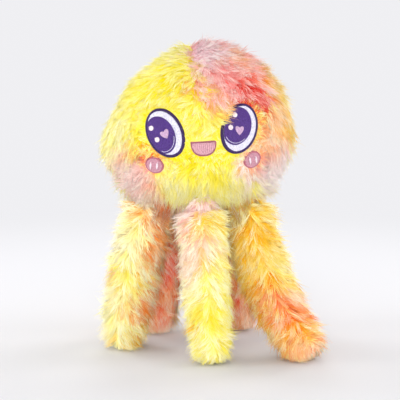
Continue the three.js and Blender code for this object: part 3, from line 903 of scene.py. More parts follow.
def neck_fur(line, rng):
    """Short fur over a gathered neck."""
    ways = sphere_lattice(NECK_LOCKS)
    nap = NECK_RUFFLE * rng.normal(size=ways.shape) - UP
    lock = {
        "point": line.hinge + ways * NECK_RADIUS,
        "normal": ways,
        "nap": unit(along_surface(nap, ways)),
        "length": np.full(NECK_LOCKS, NECK_LENGTH),
        "lift": np.full(NECK_LOCKS, NECK_LIFT),
        "ruffle": NECK_RUFFLE,
    }
    of = strand_locks(NECK_LOCKS)
    near = unit(ways[of] + rng.normal(0, LOCK_RADIUS / NECK_RADIUS, (len(of), 3)))
    strand = {"point": line.hinge + near * (NECK_RADIUS - 2 * ROOT_SINK), "normal": near, "of": of}
    return comb(lock, strand, rng)


# Materials

WHITE = (1.0, 1.0, 1.0, 1.0)
GRAIN_ENDS = (0.3, 0.7)  # the noise that counts as darkest and palest
NOISE_MIDDLE = (0.5, 0.5, 0.5)
FINE_RELIEF = 0.0002  # in metres
DYE_WANDER_SCALE = 55.0
DYE_WANDER = 0.035  # how far the edges of spots wander, in metres
DYE_STREAK = 0.007  # how far they differ from strand to strand, in metres
DYE_CORE = 0.35  # how much of a spot's radius has its full strength
# Painted shade: the root of each strand is darkened and warmed, for the shade deep in the pile
ROOT_SHADE_GAMMA = 1.8
ROOT_SHADE_END = 0.7  # the painted shade at the root ends this far along the strand
# Pale tips: partly frosted fibre, partly painted sheen
FROST_AND_SHEEN = (1.0, 0.97, 0.86)
# From and to which tone, or share of the strand's length, a value goes, and from what to what
TONE_GAMMAS = (0.0, 0.85, 1.7, 0.75)
TONE_VALUES = (0.0, 0.65, 0.9, 1.0)
FROST_AND_SHEEN_TONES = (0.3, 0.9, 0.0, 1.0)
FROST_AND_SHEEN_LENGTHS = (0.3, 1.0, 0.0, 0.85)
STRAND_ROUGHNESS = (0.0, 1.0, 0.85, 0.6)
THREAD_GRAIN = 900.0
THREAD_DARKER = 0.72
THREAD_PALER = (1.12, 0.015)  # times the first, plus the second
THREAD_ROUGHNESS = (0.34, 0.52)
FIBRE_GRAIN = 420.0
FIBRE_RELIEF = 0.0008
FIBRE_DARKER = 0.78
FIBRE_ENDS = (0.35, 0.65)
PLASTIC_GRAIN = 350.0
PLASTIC_DARKER = 0.92
PLASTIC_SPREAD = (-0.05, 0.08)


class Tree:
    """A node tree under construction."""

    def __init__(self, tree):
        self.nodes = tree.nodes
        self.links = tree.links

    def add(self, kind, inputs=None, **settings):
        node = self.nodes.new("ShaderNode" + kind)
        for key, value in settings.items():
            setattr(node, key, value)
        for key, value in (inputs or {}).items():
            self.put(node.inputs[key], value)
        return node

    def put(self, socket, value):
        if isinstance(value, bpy.types.NodeSocket):
            self.links.new(value, socket)
        else:
            socket.default_value = value

    def blend(self, share, a, b):
        node = self.add("Mix", data_type="RGBA")
        self.put(node.inputs[0], share)
        for socket, colour in ((node.inputs[6], a), (node.inputs[7], b)):
            self.put(socket, colour if isinstance(colour, bpy.types.NodeSocket) else (*colour, 1))
        return node.outputs[2]

    def map(self, value, start, end, low, high, kind="LINEAR"):
        node = self.add("MapRange", interpolation_type=kind)
        for i, each in enumerate((value, start, end, low, high)):
            self.put(node.inputs[i], each)
        return node.outputs[0]

    def maths(self, operation, a, b):
        return self.add("Math", {0: a, 1: b}, operation=operation).outputs[0]

    def vectors(self, operation, inputs):
        return self.add("VectorMath", inputs, operation=operation).outputs

    def noise(self, vector, scale, detail):
        return self.add("TexNoise", {"Vector": vector, "Scale": scale, "Detail": detail}).outputs

    def seen_directly(self):
        """1 for what the camera sees, also in or through a surface, and 0 for light on the object."""
        rays = self.add("LightPath")
        seen = rays.outputs["Is Camera Ray"]
        for kind in ("Is Glossy Ray", "Is Transmission Ray"):
            seen = self.maths("MAXIMUM", seen, rays.outputs[kind])
        return seen


class Material(Tree):
    """A node material under construction."""

    def __init__(self, name):
        self.made = bpy.data.materials.new(name)
        self.made.use_nodes = True
        super().__init__(self.made.node_tree)
        self.shader = self.nodes["Principled BSDF"]

    def set(self, **values):
        for key, value in values.items():
            self.put(self.shader.inputs[key.replace("_", " ")], value)

    def grain(self, scale, detail):
        """Places on the piece, and a noise there."""
        place = self.add("NewGeometry").outputs["Position"]
        return place, self.noise(place, scale, detail)["Fac"]

    def relief(self, height, strength, distance=FINE_RELIEF):
        bump = self.add("Bump", {"Height": height, "Strength": strength, "Distance": distance})
        self.set(Normal=bump.outputs[0])


def fur_material(name, ground, spots):
    """Dyed fur: spots of dye, each (place in mm, radius in mm, colour, strength), over a ground colour. The
    dye follows the root of each strand. Strands are darkened at the root with painted shade of the pile, and
    pale at the tip, partly as frosted fibre and partly as painted sheen."""
    made = Material(name)
    root = made.add("Attribute", attribute_name="root").outputs["Vector"]
    tip, tone = (made.add("Attribute", attribute_name=each).outputs["Fac"] for each in ("tip", "tone"))
    wander = made.noise(root, DYE_WANDER_SCALE, detail=3.0)["Color"]
    off = made.vectors("SUBTRACT", {0: wander, 1: NOISE_MIDDLE})[0]
    off = made.vectors("SCALE", {0: off, "Scale": DYE_WANDER})[0]
    place = made.vectors("ADD", {0: root, 1: off})[0]
    streak = made.map(tone, 0.0, 1.0, -DYE_STREAK, DYE_STREAK)
    colour = strand_colour(ground)
    for centre, radius, dye, strength in spots:
        far = made.vectors("DISTANCE", {0: place, 1: tuple(centre * MM)})["Value"]
        far = made.maths("ADD", far, streak)
        share = made.map(far, radius * MM, radius * DYE_CORE * MM, 0.0, strength, "SMOOTHSTEP")
        colour = made.blend(share, colour, strand_colour(dye))
    # painted shade: darker at the root of each strand, deep in the pile
    deep = made.add("Gamma", {"Color": colour, "Gamma": ROOT_SHADE_GAMMA}).outputs[0]
    colour = made.blend(made.map(tip, 0.0, ROOT_SHADE_END, 0.0, 1.0), deep, colour)
    colour = made.add("Gamma", {"Color": colour, "Gamma": made.map(tone, *TONE_GAMMAS)}).outputs[0]
    # pale tips, partly frosted fibre and partly painted sheen
    frost_and_sheen = made.maths("MULTIPLY", made.map(tip, *FROST_AND_SHEEN_LENGTHS), made.map(tone, *FROST_AND_SHEEN_TONES))
    colour = made.blend(frost_and_sheen, colour, FROST_AND_SHEEN)
    shaded = made.add("HueSaturation", {"Value": made.map(tone, *TONE_VALUES), "Color": colour})
    made.set(Base_Color=shaded.outputs[0], Roughness=made.map(tip, *STRAND_ROUGHNESS))
    made.set(Sheen_Weight=0.08, Sheen_Roughness=0.4, Specular_IOR_Level=0.2)
    return made.made


def thread_material(name, colour):
    """Embroidery thread: a twist along it and small changes of shade from thread to thread."""
    made = Material(name)
    place, shade = made.grain(THREAD_GRAIN, detail=3.0)
    base = np.array(linear(colour))
    times, more = THREAD_PALER
    share = made.map(shade, *GRAIN_ENDS, 0.0, 1.0)
    made.set(Base_Color=made.blend(share, base * THREAD_DARKER, np.minimum(1.0, times * base + more)))
    wave = {"Vector": place, "Scale": THREAD_GRAIN, "Distortion": 3.0}
    twist = made.add("TexWave", wave, bands_direction="DIAGONAL")
    made.relief(twist.outputs["Fac"], strength=0.25)
    made.set(Roughness=made.map(shade, *GRAIN_ENDS, *THREAD_ROUGHNESS))
    made.set(Sheen_Weight=0.05, Specular_IOR_Level=0.25)
    return made.made


def fibre_material(name, colour):
    """Fibre with a fine uneven grain."""
    made = Material(name)
    _, shade = made.grain(FIBRE_GRAIN, detail=5.0)
    base = np.array(linear(colour))
    made.set(Base_Color=made.blend(made.map(shade, *FIBRE_ENDS, 0.0, 1.0), base * FIBRE_DARKER, base))
    made.relief(shade, strength=0.6, distance=FIBRE_RELIEF)
    made.set(Roughness=0.9, Sheen_Weight=0.3)
    return made.made


def plastic_material(name, colour, roughness):
    """Moulded plastic with a faint texture."""
    made = Material(name)
    _, shade = made.grain(PLASTIC_GRAIN, detail=4.0)
    base = np.array(linear(colour))
    made.set(Base_Color=made.blend(made.map(shade, *GRAIN_ENDS, 0.0, 1.0), base * PLASTIC_DARKER, base))
    made.relief(shade, strength=0.15)
    made.set(Roughness=made.map(shade, *GRAIN_ENDS, *(roughness + each for each in PLASTIC_SPREAD)))
    return made.made


# Dyes. Each piece has a ground colour and spots of dye over it. On the bell a spot has its place in the
# bell's axes, its radius, its dye and its strength.

FRONT = -55  # how far forward the dye on the face is
BACK_DYES = (
    (0, 58, 34, 22, "gold", 0.85),
    (-4, 66, 4, 20, "pink", 0.8),
    (4, 56, -26, 20, "pale_lemon", 0.8),
)
FUR_DYES = {
    "face": (
        "lemon",
        (-74, -20, 14, 46, "pale_lemon", 0.95),
        (-50, -40, -9, 18, "peach", 0.7),
        (-36, -50, -6, 14, "amber", 0.7),
        (-38, -47, -17, 15, "coral", 0.7),
        (-56, -32, -16, 20, "peach", 0.8),
        (-46, -36, -34, 28, "pink", 0.75),
        (-58, -26, -28, 32, "blush", 0.9),
        (-24, -50, -28, 20, "pale_lemon", 0.9),
        (0, FRONT, -34, 24, "pale_lemon", 0.4),
        (-8, FRONT, 30, 18, "pale_lemon", 0.3),
        (13, FRONT, 31, 15, "peach", 0.9),
        (4, FRONT, 8, 16, "pale_lemon", 0.4),
        (58, -30, 18, 34, "peach", 0.95),
        (60, -30, 12, 20, "pale_gold", 0.45),
        # a red spot above the right eye: painted shade in the fold under the brow
        (38, -47, 38, 20, "red", 1.0),
        (74, -6, 26, 28, "gold", 0.95),
        (58, -34, -6, 26, "pink", 1.0),
        (40, -48, -22, 24, "pale_blush", 0.95),
        (51, -45, -6, 27, "peach", 1.0),
        (55, -38, -14, 10, "coral", 0.75),
        (62, -22, -28, 36, "pale_blush", 1.0),
        (24, FRONT, -30, 18, "pale_lemon", 0.7),
    ),
    "crown_left": (
        "lemon",
        (-76, -6, 26, 38, "pale_lemon", 0.9),
        (-12, -10, 74, 20, "pale_lemon", 0.5),
        (-44, 0, 64, 22, "pale_lemon", 0.7),
        (-3, -24, 68, 11, "rose", 0.8),
        (-3, -46, 50, 10, "peach", 0.8),
    ),
    "crown_right": (
        "pink",
        (0, -22, 72, 28, "rose", 1.0),
        (24, -20, 72, 20, "peach", 0.9),
        (36, -36, 56, 18, "coral", 0.6),
        (14, -46, 50, 16, "pink", 0.7),
        (2, -54, 40, 18, "peach", 0.8),
        (50, -22, 50, 18, "orange", 0.7),
        (64, -4, 44, 36, "pale_gold", 1.0),
        # a red spot above the right eye: painted shade in the fold under the brow
        (40, -46, 38, 18, "red", 1.0),
        (-6, -40, 58, 10, "pale_lemon", 0.7),
        (-4, -54, 38, 11, "lemon", 0.7),
    ),
    "back_left": (
        "lemon",
        (-66, 24, 10, 34, "pale_lemon", 0.8),
        (-34, 48, 26, 26, "gold", 0.8),
        (-46, 40, -18, 28, "peach", 0.85),
        (-22, 56, -16, 22, "orange", 0.6),
        (-20, 30, 62, 24, "pale_lemon", 0.8),
        *BACK_DYES,
    ),
    "back_right": (
        "peach",
        (66, 20, 16, 34, "gold", 0.95),
        (60, 16, 42, 34, "pale_gold", 1.0),
        (26, 52, 22, 28, "coral", 0.7),
        (48, 40, -12, 28, "blush", 0.85),
        (24, 56, -18, 22, "lemon", 0.8),
        (22, 28, 62, 26, "pink", 0.85),
        *BACK_DYES,
    ),
}

# On a tentacle a spot has its share of the length, how far it is to the right of the line and behind it
# there, its radius, its dye and its strength.
AHEAD = -14.0
BESIDE = 0.0
BEHIND = 14.0
SLEEVE_DYES = {
    "left": (
        "pale_lemon",
        (0.0, 2, AHEAD, 28, "peach", 0.5),
        (0.1, 12, AHEAD, 22, "peach", 0.6),
        (0.32, 14, AHEAD, 24, "orange", 0.8),
        (0.52, 16, AHEAD, 24, "peach", 0.95),
        (0.74, 16, AHEAD, 24, "orange", 0.9),
        (0.96, 12, AHEAD, 24, "gold", 1.0),
        (0.5, -8, AHEAD, 16, "lemon", 0.5),
        (0.25, -20, BESIDE, 22, "cream", 0.7),
        (0.6, -20, BESIDE, 24, "cream", 0.7),
        (0.95, -18, BESIDE, 22, "cream", 0.7),
        (0.2, -6, BEHIND, 22, "gold", 0.8),
        (0.48, 0, BEHIND, 22, "peach", 0.8),
        (0.75, -4, BEHIND, 20, "lemon", 0.8),
        (1.0, 2, BEHIND, 22, "orange", 0.7),
    ),
    "front": (
        "pale_lemon",
        (0.0, -12, AHEAD, 32, "blush", 1.0),
        (0.12, -14, AHEAD, 18, "pink", 0.4),
        (0.08, 14, AHEAD, 24, "lemon", 0.7),
        (0.34, -12, AHEAD, 26, "blush", 0.75),
        (0.4, 14, AHEAD, 22, "lemon", 0.45),
        (0.6, -10, AHEAD, 18, "cream", 0.6),
        (0.72, 6, AHEAD, 26, "lemon", 0.6),
        (1.05, 0, AHEAD, 24, "lemon", 0.25),
        (0.15, 0, BEHIND, 22, "peach", 0.8),
        (0.45, 4, BEHIND, 24, "gold", 0.8),
        (0.72, -4, BEHIND, 22, "orange", 0.7),
        (1.0, 0, BEHIND, 20, "peach", 0.9),
    ),
    "right": (
        "gold",
        (0.02, 2, AHEAD, 28, "pale_lemon", 0.75),
        (0.2, 0, AHEAD, 24, "gold", 0.8),
        (0.36, 14, AHEAD, 20, "pale_lemon", 0.7),
        (0.6, -16, AHEAD, 24, "amber", 1.0),
        (0.6, 12, AHEAD, 20, "peach", 0.9),
        (0.74, 6, AHEAD, 15, "coral", 0.6),
        (0.85, -10, AHEAD, 22, "amber", 1.0),
        (1.02, 6, AHEAD, 26, "peach", 1.0),
        (1.08, 12, AHEAD, 18, "pink", 0.65),
        (0.15, 2, BEHIND, 22, "orange", 0.7),
        (0.42, 6, BEHIND, 24, "peach", 0.8),
        (0.68, 0, BEHIND, 20, "coral", 0.7),
        (0.95, 4, BEHIND, 22, "pink", 0.7),
    ),
    "back_right": (
        "orange",
        (0.8, -10, AHEAD, 18, "coral", 1.0),
        (1.0, 6, AHEAD, 24, "peach", 0.9),
        (0.05, 2, BEHIND, 28, "gold", 0.95),
        (0.28, 8, BEHIND, 22, "lemon", 0.9),
        (0.42, -8, BEHIND, 22, "peach", 0.95),
        (0.56, 6, BEHIND, 18, "coral", 0.8),
        (0.74, -6, BEHIND, 22, "gold", 0.9),
        (0.92, 6, BEHIND, 24, "blush", 0.9),
        (0.5, 16, BESIDE, 22, "pale_lemon", 0.8),
    ),
    "back_left": (
        "orange",
        (0.5, 4, AHEAD, 26, "coral", 1.0),
        (0.85, 6, AHEAD, 16, "coral", 0.7),
        (1.05, 8, AHEAD, 24, "blush", 0.9),
        (0.05, -2, BEHIND, 28, "lemon", 0.9),
        (0.25, -8, BEHIND, 22, "pale_lemon", 0.95),
        (0.4, 8, BEHIND, 20, "peach", 0.9),
        (0.58, -6, BEHIND, 22, "gold", 0.95),
        (0.76, 6, BEHIND, 20, "pink", 0.8),
        (0.94, -4, BEHIND, 24, "pale_lemon", 0.9),
        (0.45, -16, BESIDE, 24, "lemon", 0.85),
    ),
}

NECK_DYES = {"front": "blush", "right": "gold", "back_right": "orange", "back_left": "gold", "left": "cream"}
NECK_DYE_RADIUS = 26
BASE_DYES = ((-34, -28, -SKIRT_DROP, 24, "orange", 1.0), (16, -34, -SKIRT_DROP, 20, "gold", 1.0))


def bell_spots(rows):
    return [(BELL_PLACE + (x, y, z), *spot) for x, y, z, *spot in rows]


def sleeve_spots(line, rows):
    spots = []
    for share, x, y, *spot in rows:
        point, _, _ = line.frame_at(np.array((share * line.reach,)))
        spots.append((point[0] + (x, y, 0.0), *spot))
    return spots


# Embroidery, drawn on each patch as places across, up and out of it

SMILE_POWER = 0.8
HEART = np.array(((0, -1), (1.6, 0.3), (0.9, 1.4), (0, 0.55)))  # control points of its right half
OUTLINE_POINTS = 96
CHEEK_POINTS = 64
HEART_POINTS = 48
SMALL_POINTS = 32
# How far out and how far up the rings of a pad are, as shares
PAD_PROFILE = ((0, 0), (0.6, 0), (0.97, 0), (1, 0.5), (0.95, 1), (0.6, 1), (0, 1))
RIB_PITCH = 1.5
RIB_WIDTH = 1.45
RIB_HEIGHT = 0.9
THREAD_PITCH = 0.52
THREAD_WIDTH = 0.58
THREAD_HEIGHT = 0.5
THREAD_SIDES = 6
THREAD_END = 0.5  # how thick a thread is at its ends, as a share
STITCH_LENGTH = 4.2
STITCH_STEP = 0.9
STITCH_STEPS = 4  # at least, in a row
STITCH_SHIFT = 0.37  # from row to row, as a share of a stitch
STITCH_DIP = 0.14
STITCH_DIP_SHARE = 0.2
END_DIP = 0.3
SATIN_STEPS = np.array((0, 0.3, 0.7, 1))[:, None]
SATIN_ENDS = np.array((1, 0, 0, 1))


def join(*parts):
    """Several meshes as one."""
    points, faces = [], []
    start = 0
    for own_points, own_faces in parts:
        points.append(own_points)
        faces += [tuple(i + start for i in face) for face in own_faces]
        start += len(own_points)
    return np.concatenate(points), faces


def loft(rings):
    """A surface through rings of points. A ring of one point closes an end."""
    starts = np.cumsum([0] + [len(ring) for ring in rings])
    sides = max(len(ring) for ring in rings)
    faces = []
    for a in range(len(rings) - 1):
        b = a + 1
        for i in range(sides):
            k = (i + 1) % sides
            if len(rings[a]) == 1:
                faces.append((starts[a], starts[b] + k, starts[b] + i))
            elif len(rings[b]) == 1:
                faces.append((starts[a] + i, starts[a] + k, starts[b]))
            else:
                faces.append((starts[a] + i, starts[a] + k, starts[b] + k, starts[b] + i))
    return np.concatenate(rings), [tuple(int(i) for i in face) for face in faces]


def ellipse(half, middle=(0.0, 0.0), count=OUTLINE_POINTS):
    return round_axis(turns(count), 1.0, 0.0)[:, :2] * half + middle


def smile(half_width, depth, top):
    """Half an ellipse with full lower corners, under a flat upper edge."""
    edge = OUTLINE_POINTS // 3
    curved = OUTLINE_POINTS - edge
    angles = math.pi + np.arange(curved) * math.pi / curved
    across, down = (np.sign(each) * np.abs(each) ** SMILE_POWER for each in (np.cos(angles), np.sin(angles)))
    curve = np.stack((half_width * across, top + depth * down), 1)
    flat = np.stack((half_width - np.arange(edge) * 2 * half_width / edge, np.full(edge, top)), 1)
    return np.concatenate((curve, flat))


def overlap(half, middle, limit):
    """The part of an ellipse that lies inside another one round the origin."""
    ways = ellipse((1, 1))
    own = 1 / np.linalg.norm(ways / half, axis=1)
    a = ((ways / limit) ** 2).sum(1)
    b = (ways * middle / np.square(limit)).sum(1)
    c = ((np.array(middle) / limit) ** 2).sum() - 1
    other = (-b + np.sqrt(b * b - a * c)) / a
    return ways * np.minimum(own, other)[:, None] + middle


def heart(size, turn, middle):
    """A heart with its point down."""
    t = np.arange(HEART_POINTS) / HEART_POINTS
    corners = HEART * size / 2
    weights = np.stack(((1 - t) ** 3, 3 * t * (1 - t) ** 2, 3 * t * t * (1 - t), t**3), 1)
    right = weights @ corners
    left = (weights[:, ::-1] @ corners) * (-1, 1)
    return turned(np.concatenate((right, left)), turn) + middle


def pad(outline, low, high):
    """A closed pad with a rounded edge."""
    middle = outline.mean(axis=0)
    rings = []
    for share, rise in PAD_PROFILE:
        flat = mix(middle, outline, share)
        flat = flat[:1] if share == 0 else flat
        rings.append(np.column_stack((flat, np.full(len(flat), mix(low, high, rise)))))
    return loft(rings)


def threads(paths, width=THREAD_WIDTH, height=THREAD_HEIGHT):
    """Closed threads along paths."""
    angles = turns(THREAD_SIDES)[:, None]
    made = []
    for path in paths:
        ahead = unit(np.gradient(path[:, :2], axis=0))
        beside = np.stack((-ahead[:, 1], ahead[:, 0], np.zeros(len(path))), 1)
        taper = np.ones((len(path), 1, 1))
        taper[[0, -1]] = THREAD_END
        ring = beside[:, None] * np.cos(angles) * width / 2 + UP * np.sin(angles) * height / 2
        points, faces = loft(list(path[:, None] + ring * taper))
        last = len(points) - THREAD_SIDES
        ends = [tuple(range(THREAD_SIDES))[::-1], tuple(range(last, last + THREAD_SIDES))]
        made.append((points, faces + ends))
    return join(*made)


def hatch(outline, angle, level, pitch=THREAD_PITCH):
    """Rows of stitches that fill an outline, each dipping where one stitch ends and the next starts."""
    level_outline = turned(outline, -angle)
    following = np.roll(level_outline, -1, axis=0)
    heights = level_outline[:, 1]
    paths = []
    for number, row in enumerate(np.arange(heights.min() + pitch / 2, heights.max(), pitch)):
        crossing = (heights < row) != (following[:, 1] < row)
        a, b = level_outline[crossing], following[crossing]
        cuts = np.sort(a[:, 0] + (row - a[:, 1]) / (b[:, 1] - a[:, 1]) * (b[:, 0] - a[:, 0]))
        for start, end in zip(cuts[0::2], cuts[1::2]):
            if end - start < pitch:
                continue
            x = np.linspace(start, end, max(STITCH_STEPS, math.ceil((end - start) / STITCH_STEP)))
            dips = (x / STITCH_LENGTH + number * STITCH_SHIFT) % 1 < STITCH_DIP_SHARE
            height = level - STITCH_DIP * dips
            height[[0, -1]] = level - END_DIP
            flat = turned(np.stack((x, np.full(len(x), row)), 1), angle)
            paths.append(np.column_stack((flat, height)))
    return paths


def satin(outer, inner, level):
    """Short stitches side by side across the border between two outlines."""
    outer, inner = (np.concatenate((each, each[:1])) for each in (outer, inner))
    run = run_along(outer)
    places = np.arange(0, run[-1], THREAD_PITCH)
    starts, ends = (
        np.stack([np.interp(places, run, values) for values in each.T], 1) for each in (outer, inner)
    )
    height = level - END_DIP * SATIN_ENDS
    return [np.column_stack((mix(start, end, SATIN_STEPS), height)) for start, end in zip(starts, ends)]


# Assembly


def settle(made, body, slot, *nodes, fill=None):
    """Gives a piece its material, its body and the solids that it stands for."""
    made.data.materials.append(LOOKS[slot])
    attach(made, body)
    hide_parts(*nodes)


THREADS = {
    "eye_outline": 0x33195C,
    "eye_white": 0xE2DFF0,
    "iris": 0x4E2C80,
    "heart": 0xCDAACA,
    "glint": 0xF7E2E7,
    "mouth_outline": 0xA86274,
    "mouth": 0xD6A2AF,
    "cheek_edge": 0xB86B7E,
    "cheek": 0xC993A3,
    "cheek_stitch": 0xEFDCE6,
}
# Colours and how rough they are
PLASTICS = {
    "squeaker": (0xEDEAE2, 0.4),
    "squeaker_nozzle": (0xE6E6E4, 0.34),
    "squeaker_reed": (0xD8D8D6, 0.3),
}
neck_spots = [(LINES[name].hinge, NECK_DYE_RADIUS, dye, 1.0) for name, dye in NECK_DYES.items()]
furs = {"base_cloth": ("peach", neck_spots + bell_spots(BASE_DYES)), "neck_cloth": ("peach", neck_spots)}
for name, (ground, *rows) in FUR_DYES.items():
    furs[name + "_fur"] = (ground, bell_spots(rows))
for name, (ground, *rows) in SLEEVE_DYES.items():
    furs[name + "_tentacle_fur"] = (ground, sleeve_spots(LINES[name], rows))
LOOKS = {slot: fur_material(slot, *dyes) for slot, dyes in furs.items()}
LOOKS["filling"] = fibre_material("filling", 0xF4F2EE)
for slot, (colour, roughness) in PLASTICS.items():
    LOOKS[slot] = plastic_material(slot, colour, roughness)
for name, colour in THREADS.items():
    LOOKS[name + "_thread"] = thread_material(name + "_thread", colour)


# Bell: fabric, then fur

X, Y, Z = np.eye(3)
PANEL_CUTS = {
    "face": ((Y, SIDE_SEAM, True), (Z, BROW_SEAM, True)),
    "crown_left": ((Y, SIDE_SEAM, True), (Z, BROW_SEAM, False), (X, CROWN_SEAM, True)),
    "crown_right": ((Y, SIDE_SEAM, True), (Z, BROW_SEAM, False), (X, CROWN_SEAM, False)),
    "back_left": ((Y, SIDE_SEAM, False), (X, BACK_SEAM, True)),
    "back_right": ((Y, SIDE_SEAM, False), (X, BACK_SEAM, False)),
}
COVER_ROWS = 44
COVER_COLUMNS = 108
CUT_MERGE = 1e-5
SEEDS = {"bell": 11, "base": 12, "bell_pile": 20, "base_pile": 26}


def bell_skin():
    """The whole fabric of the bell, from the inner edge of its flat underside to the top."""
    angles = turns(COVER_COLUMNS)
    rings = []
    for polar in np.linspace(math.acos(RIM_COSINE), 0, COVER_ROWS):
        count = 1 if polar == 0 else COVER_COLUMNS
        points, normals = bell(round_axis(angles, math.sin(polar), math.cos(polar))[:count])
        rings.append(points - normals * cover_depth(points)[:, None])
    share = (RIM_HALF_WIDTH - RIM_WIDTH) / np.abs(rings[0][:, 0]).max()
    return loft([rings[0] * (share, share, 1)] + rings)


def bell_cover(name, skin):
    """One panel's fabric, cut from the whole along its seams."""
    cut = bmesh.new()
    corners = [cut.verts.new(point) for point in skin[0]]
    for face in skin[1]:
        cut.faces.new([corners[i] for i in face])
    for way, seam, below in PANEL_CUTS[name]:
        place = way * (seam - SEAM_GAP / 2 if below else seam + SEAM_GAP / 2)
        whole = cut.verts[:] + cut.edges[:] + cut.faces[:]
        sides = {"clear_outer": below, "clear_inner": not below}
        bmesh.ops.bisect_plane(cut, geom=whole, dist=CUT_MERGE, plane_co=place, plane_no=way, **sides)
    cut.normal_update()
    cut.verts.index_update()
    points = np.array([corner.co for corner in cut.verts])
    normals = np.array([corner.normal for corner in cut.verts])
    faces = [tuple(corner.index for corner in face.verts) for face in cut.faces]
    cut.free()
    points, faces = shell(points, faces, normals, COVER_THICKNESS)
    points = points + BELL_PLACE
    return make_object(name + "_cover", points, faces, fur_facts(points))


skin = bell_skin()
for name in PANELS:
    settle(bell_cover(name, skin), "head", name + "_fur", name + "_panel", fill=0.8)

fur, panel = bell_fur(np.random.default_rng(SEEDS["bell"]))
for number, name in enumerate(PANELS):
    own = some_of(fur, panel == number)
    halves = {"": own}
    if name == "face":
        left = own["root"][:, 0] < 0
        halves = {"_left": some_of(own, left), "_right": some_of(own, ~left)}
    for half, each in halves.items():
        pile = strands_object(name + "_pile" + half, in_shared_frame(each), SEEDS["bell_pile"] + number)
        settle(pile, "head", name + "_fur", name + "_panel")

points, faces = pad(ellipse((base_high - base_low)[:2] / 2), -SKIRT_DROP, BASE_THICKNESS - SKIRT_DROP)
points = points + BELL_PLACE
made = make_object("base_cover", points, faces, fur_facts(points, BASE_TIP))
settle(made, "head", "base_cloth", "base_panel", fill=0.5)
base_half = RIM_HALF_WIDTH * np.array((1, BELL_HALF_DEPTH / BELL_HALF_WIDTH)) - COVER_DEPTH
strands = in_shared_frame(base_fur(base_half, np.random.default_rng(SEEDS["base"])))
settle(strands_object("base_pile", strands, SEEDS["base_pile"]), "head", "base_cloth", "base_panel")


# Embroidered face

BORDER_SHARES = {"eye": 0.96, "cheek": 0.95}  # how far in under the fill the border's stitches reach
WHITE_TURN = 0.3
GLINT_TURN = 0.5
IRIS_LINE_SHARE = 0.9  # a thin pale line inside the iris
IRIS_LINE = (0.68, 0.92)  # where it runs, as shares of a turn
IRIS_LINE_WIDTH = 0.4
IRIS_LINE_HEIGHT = 0.5
CHEEK_STITCH_PITCH = 0.4


def embroider(name, patch, slot, node, *parts):
    """A piece of embroidery from parts drawn on a patch."""
    points, faces = join(*parts)
    settle(make_object(name, PATCHES[patch].place(points), faces), "head", slot + "_thread", node)


def bordered(name, patch, slot, outer, inner, level):
    """A patch with a border of satin stitches."""
    stitches = threads(satin(outer, inner, level))
    embroider(name, patch, slot, patch + "_patch", pad(outer, *PATCH_PAD), stitches)


def filled(name, patch, slot, node, outline, angle, layer, *more):
    """A padded outline filled with rows of stitches."""
    low, high, level = layer
    stitches = threads(hatch(outline, angle, level))
    embroider(name, patch, slot, node, pad(outline, low, high), stitches, *more)


for name, each in EYES.items():
    eye = name + "_eye"
    inner_half = tuple(half - EYE_BORDER for half in each["half"])
    outer, inner = ellipse(each["half"]), ellipse(inner_half)
    iris = overlap(each["iris_half"], each["iris"], inner_half)
    start, end = (int(len(iris) * share) for share in IRIS_LINE)
    line = mix(iris.mean(axis=0), iris, IRIS_LINE_SHARE)[start:end]
    line = np.column_stack((line, np.full(len(line), IRIS_LINE_LEVEL)))
    thin = threads([line], IRIS_LINE_WIDTH, IRIS_LINE_HEIGHT)
    *place, turn = each["heart"]
    turn = math.radians(turn)
    shape = heart(HEART_SIZE, turn, place)
    bordered(eye + "_outline", eye, "eye_outline", outer, inner * BORDER_SHARES["eye"], EYE_BORDER_LEVEL)
    filled(eye + "_ball", eye, "eye_white", eye + "_white", inner, WHITE_TURN, FILL_LAYER, thin)
    filled(eye + "_colour", eye, "iris", eye + "_iris", iris, UPRIGHT, UPPER_LAYER)
    filled(eye + "_love", eye, "heart", eye + "_heart", shape, turn, TOP_LAYER)
    for number, place in enumerate(each["glints"], 1):
        spot = ellipse((GLINT_RADIUS, GLINT_RADIUS), place, SMALL_POINTS)
        filled(f"{eye}_light_{number}", eye, "glint", f"{eye}_glint_{number}", spot, GLINT_TURN, TOP_LAYER)

    cheek = name + "_cheek"
    turn = -each["side"] * CHEEK_TURN
    halves = (np.array(CHEEK_HALF) - less for less in (0, CHEEK_BORDER))
    outer, inner = (turned(ellipse(half, count=CHEEK_POINTS), turn) for half in halves)
    bordered(cheek + "_edge", cheek, "cheek_edge", outer, inner * BORDER_SHARES["cheek"], BORDER_LEVEL)
    filled(cheek + "_disc", cheek, "cheek", cheek + "_fill", inner, 0.0, FILL_LAYER)
    turn = each["side"] * CHEEK_STITCH_TURN
    bar = turned(ellipse(np.array(CHEEK_STITCH) / 2, count=SMALL_POINTS), turn)
    for number, side in enumerate((-1, 1), 1):
        place = (side * CHEEK_STITCH_SPACING / 2, 0.0)
        stitches = threads(hatch(bar + place, UPRIGHT + turn, CHEEK_STITCH_LEVEL, CHEEK_STITCH_PITCH))
        embroider(f"{cheek}_bar_{number}", cheek, "cheek_stitch", f"{cheek}_stitch_{number}", stitches)

outer = smile(MOUTH_HALF_WIDTH, MOUTH_DEPTH, 0.0)
inner = smile(MOUTH_HALF_WIDTH - MOUTH_BORDER, MOUTH_DEPTH - 2 * MOUTH_BORDER, -MOUTH_BORDER)
bordered("mouth_outline", "mouth", "mouth_outline", outer, inner, BORDER_LEVEL)
low, high, level = FILL_LAYER
ribs = threads(hatch(inner, UPRIGHT, level, RIB_PITCH), RIB_WIDTH, RIB_HEIGHT)
embroider("mouth_inside", "mouth", "mouth", "mouth_fill", pad(inner, low, high), ribs)


# Tentacles: gathered necks, fabric, fur

PLEATS = 11
PLEAT_DEPTH = 0.1
NECK_ROWS = 17
NECK_COLUMNS = 66
SLEEVE_COLUMNS = 36
SLEEVE_END = 0.5  # a ring with a smaller radius closes the tip
SLEEVE_SEEDS = {"fur": 31, "pile": 41}
NECK_SEEDS = {"fur": 51, "pile": 61}


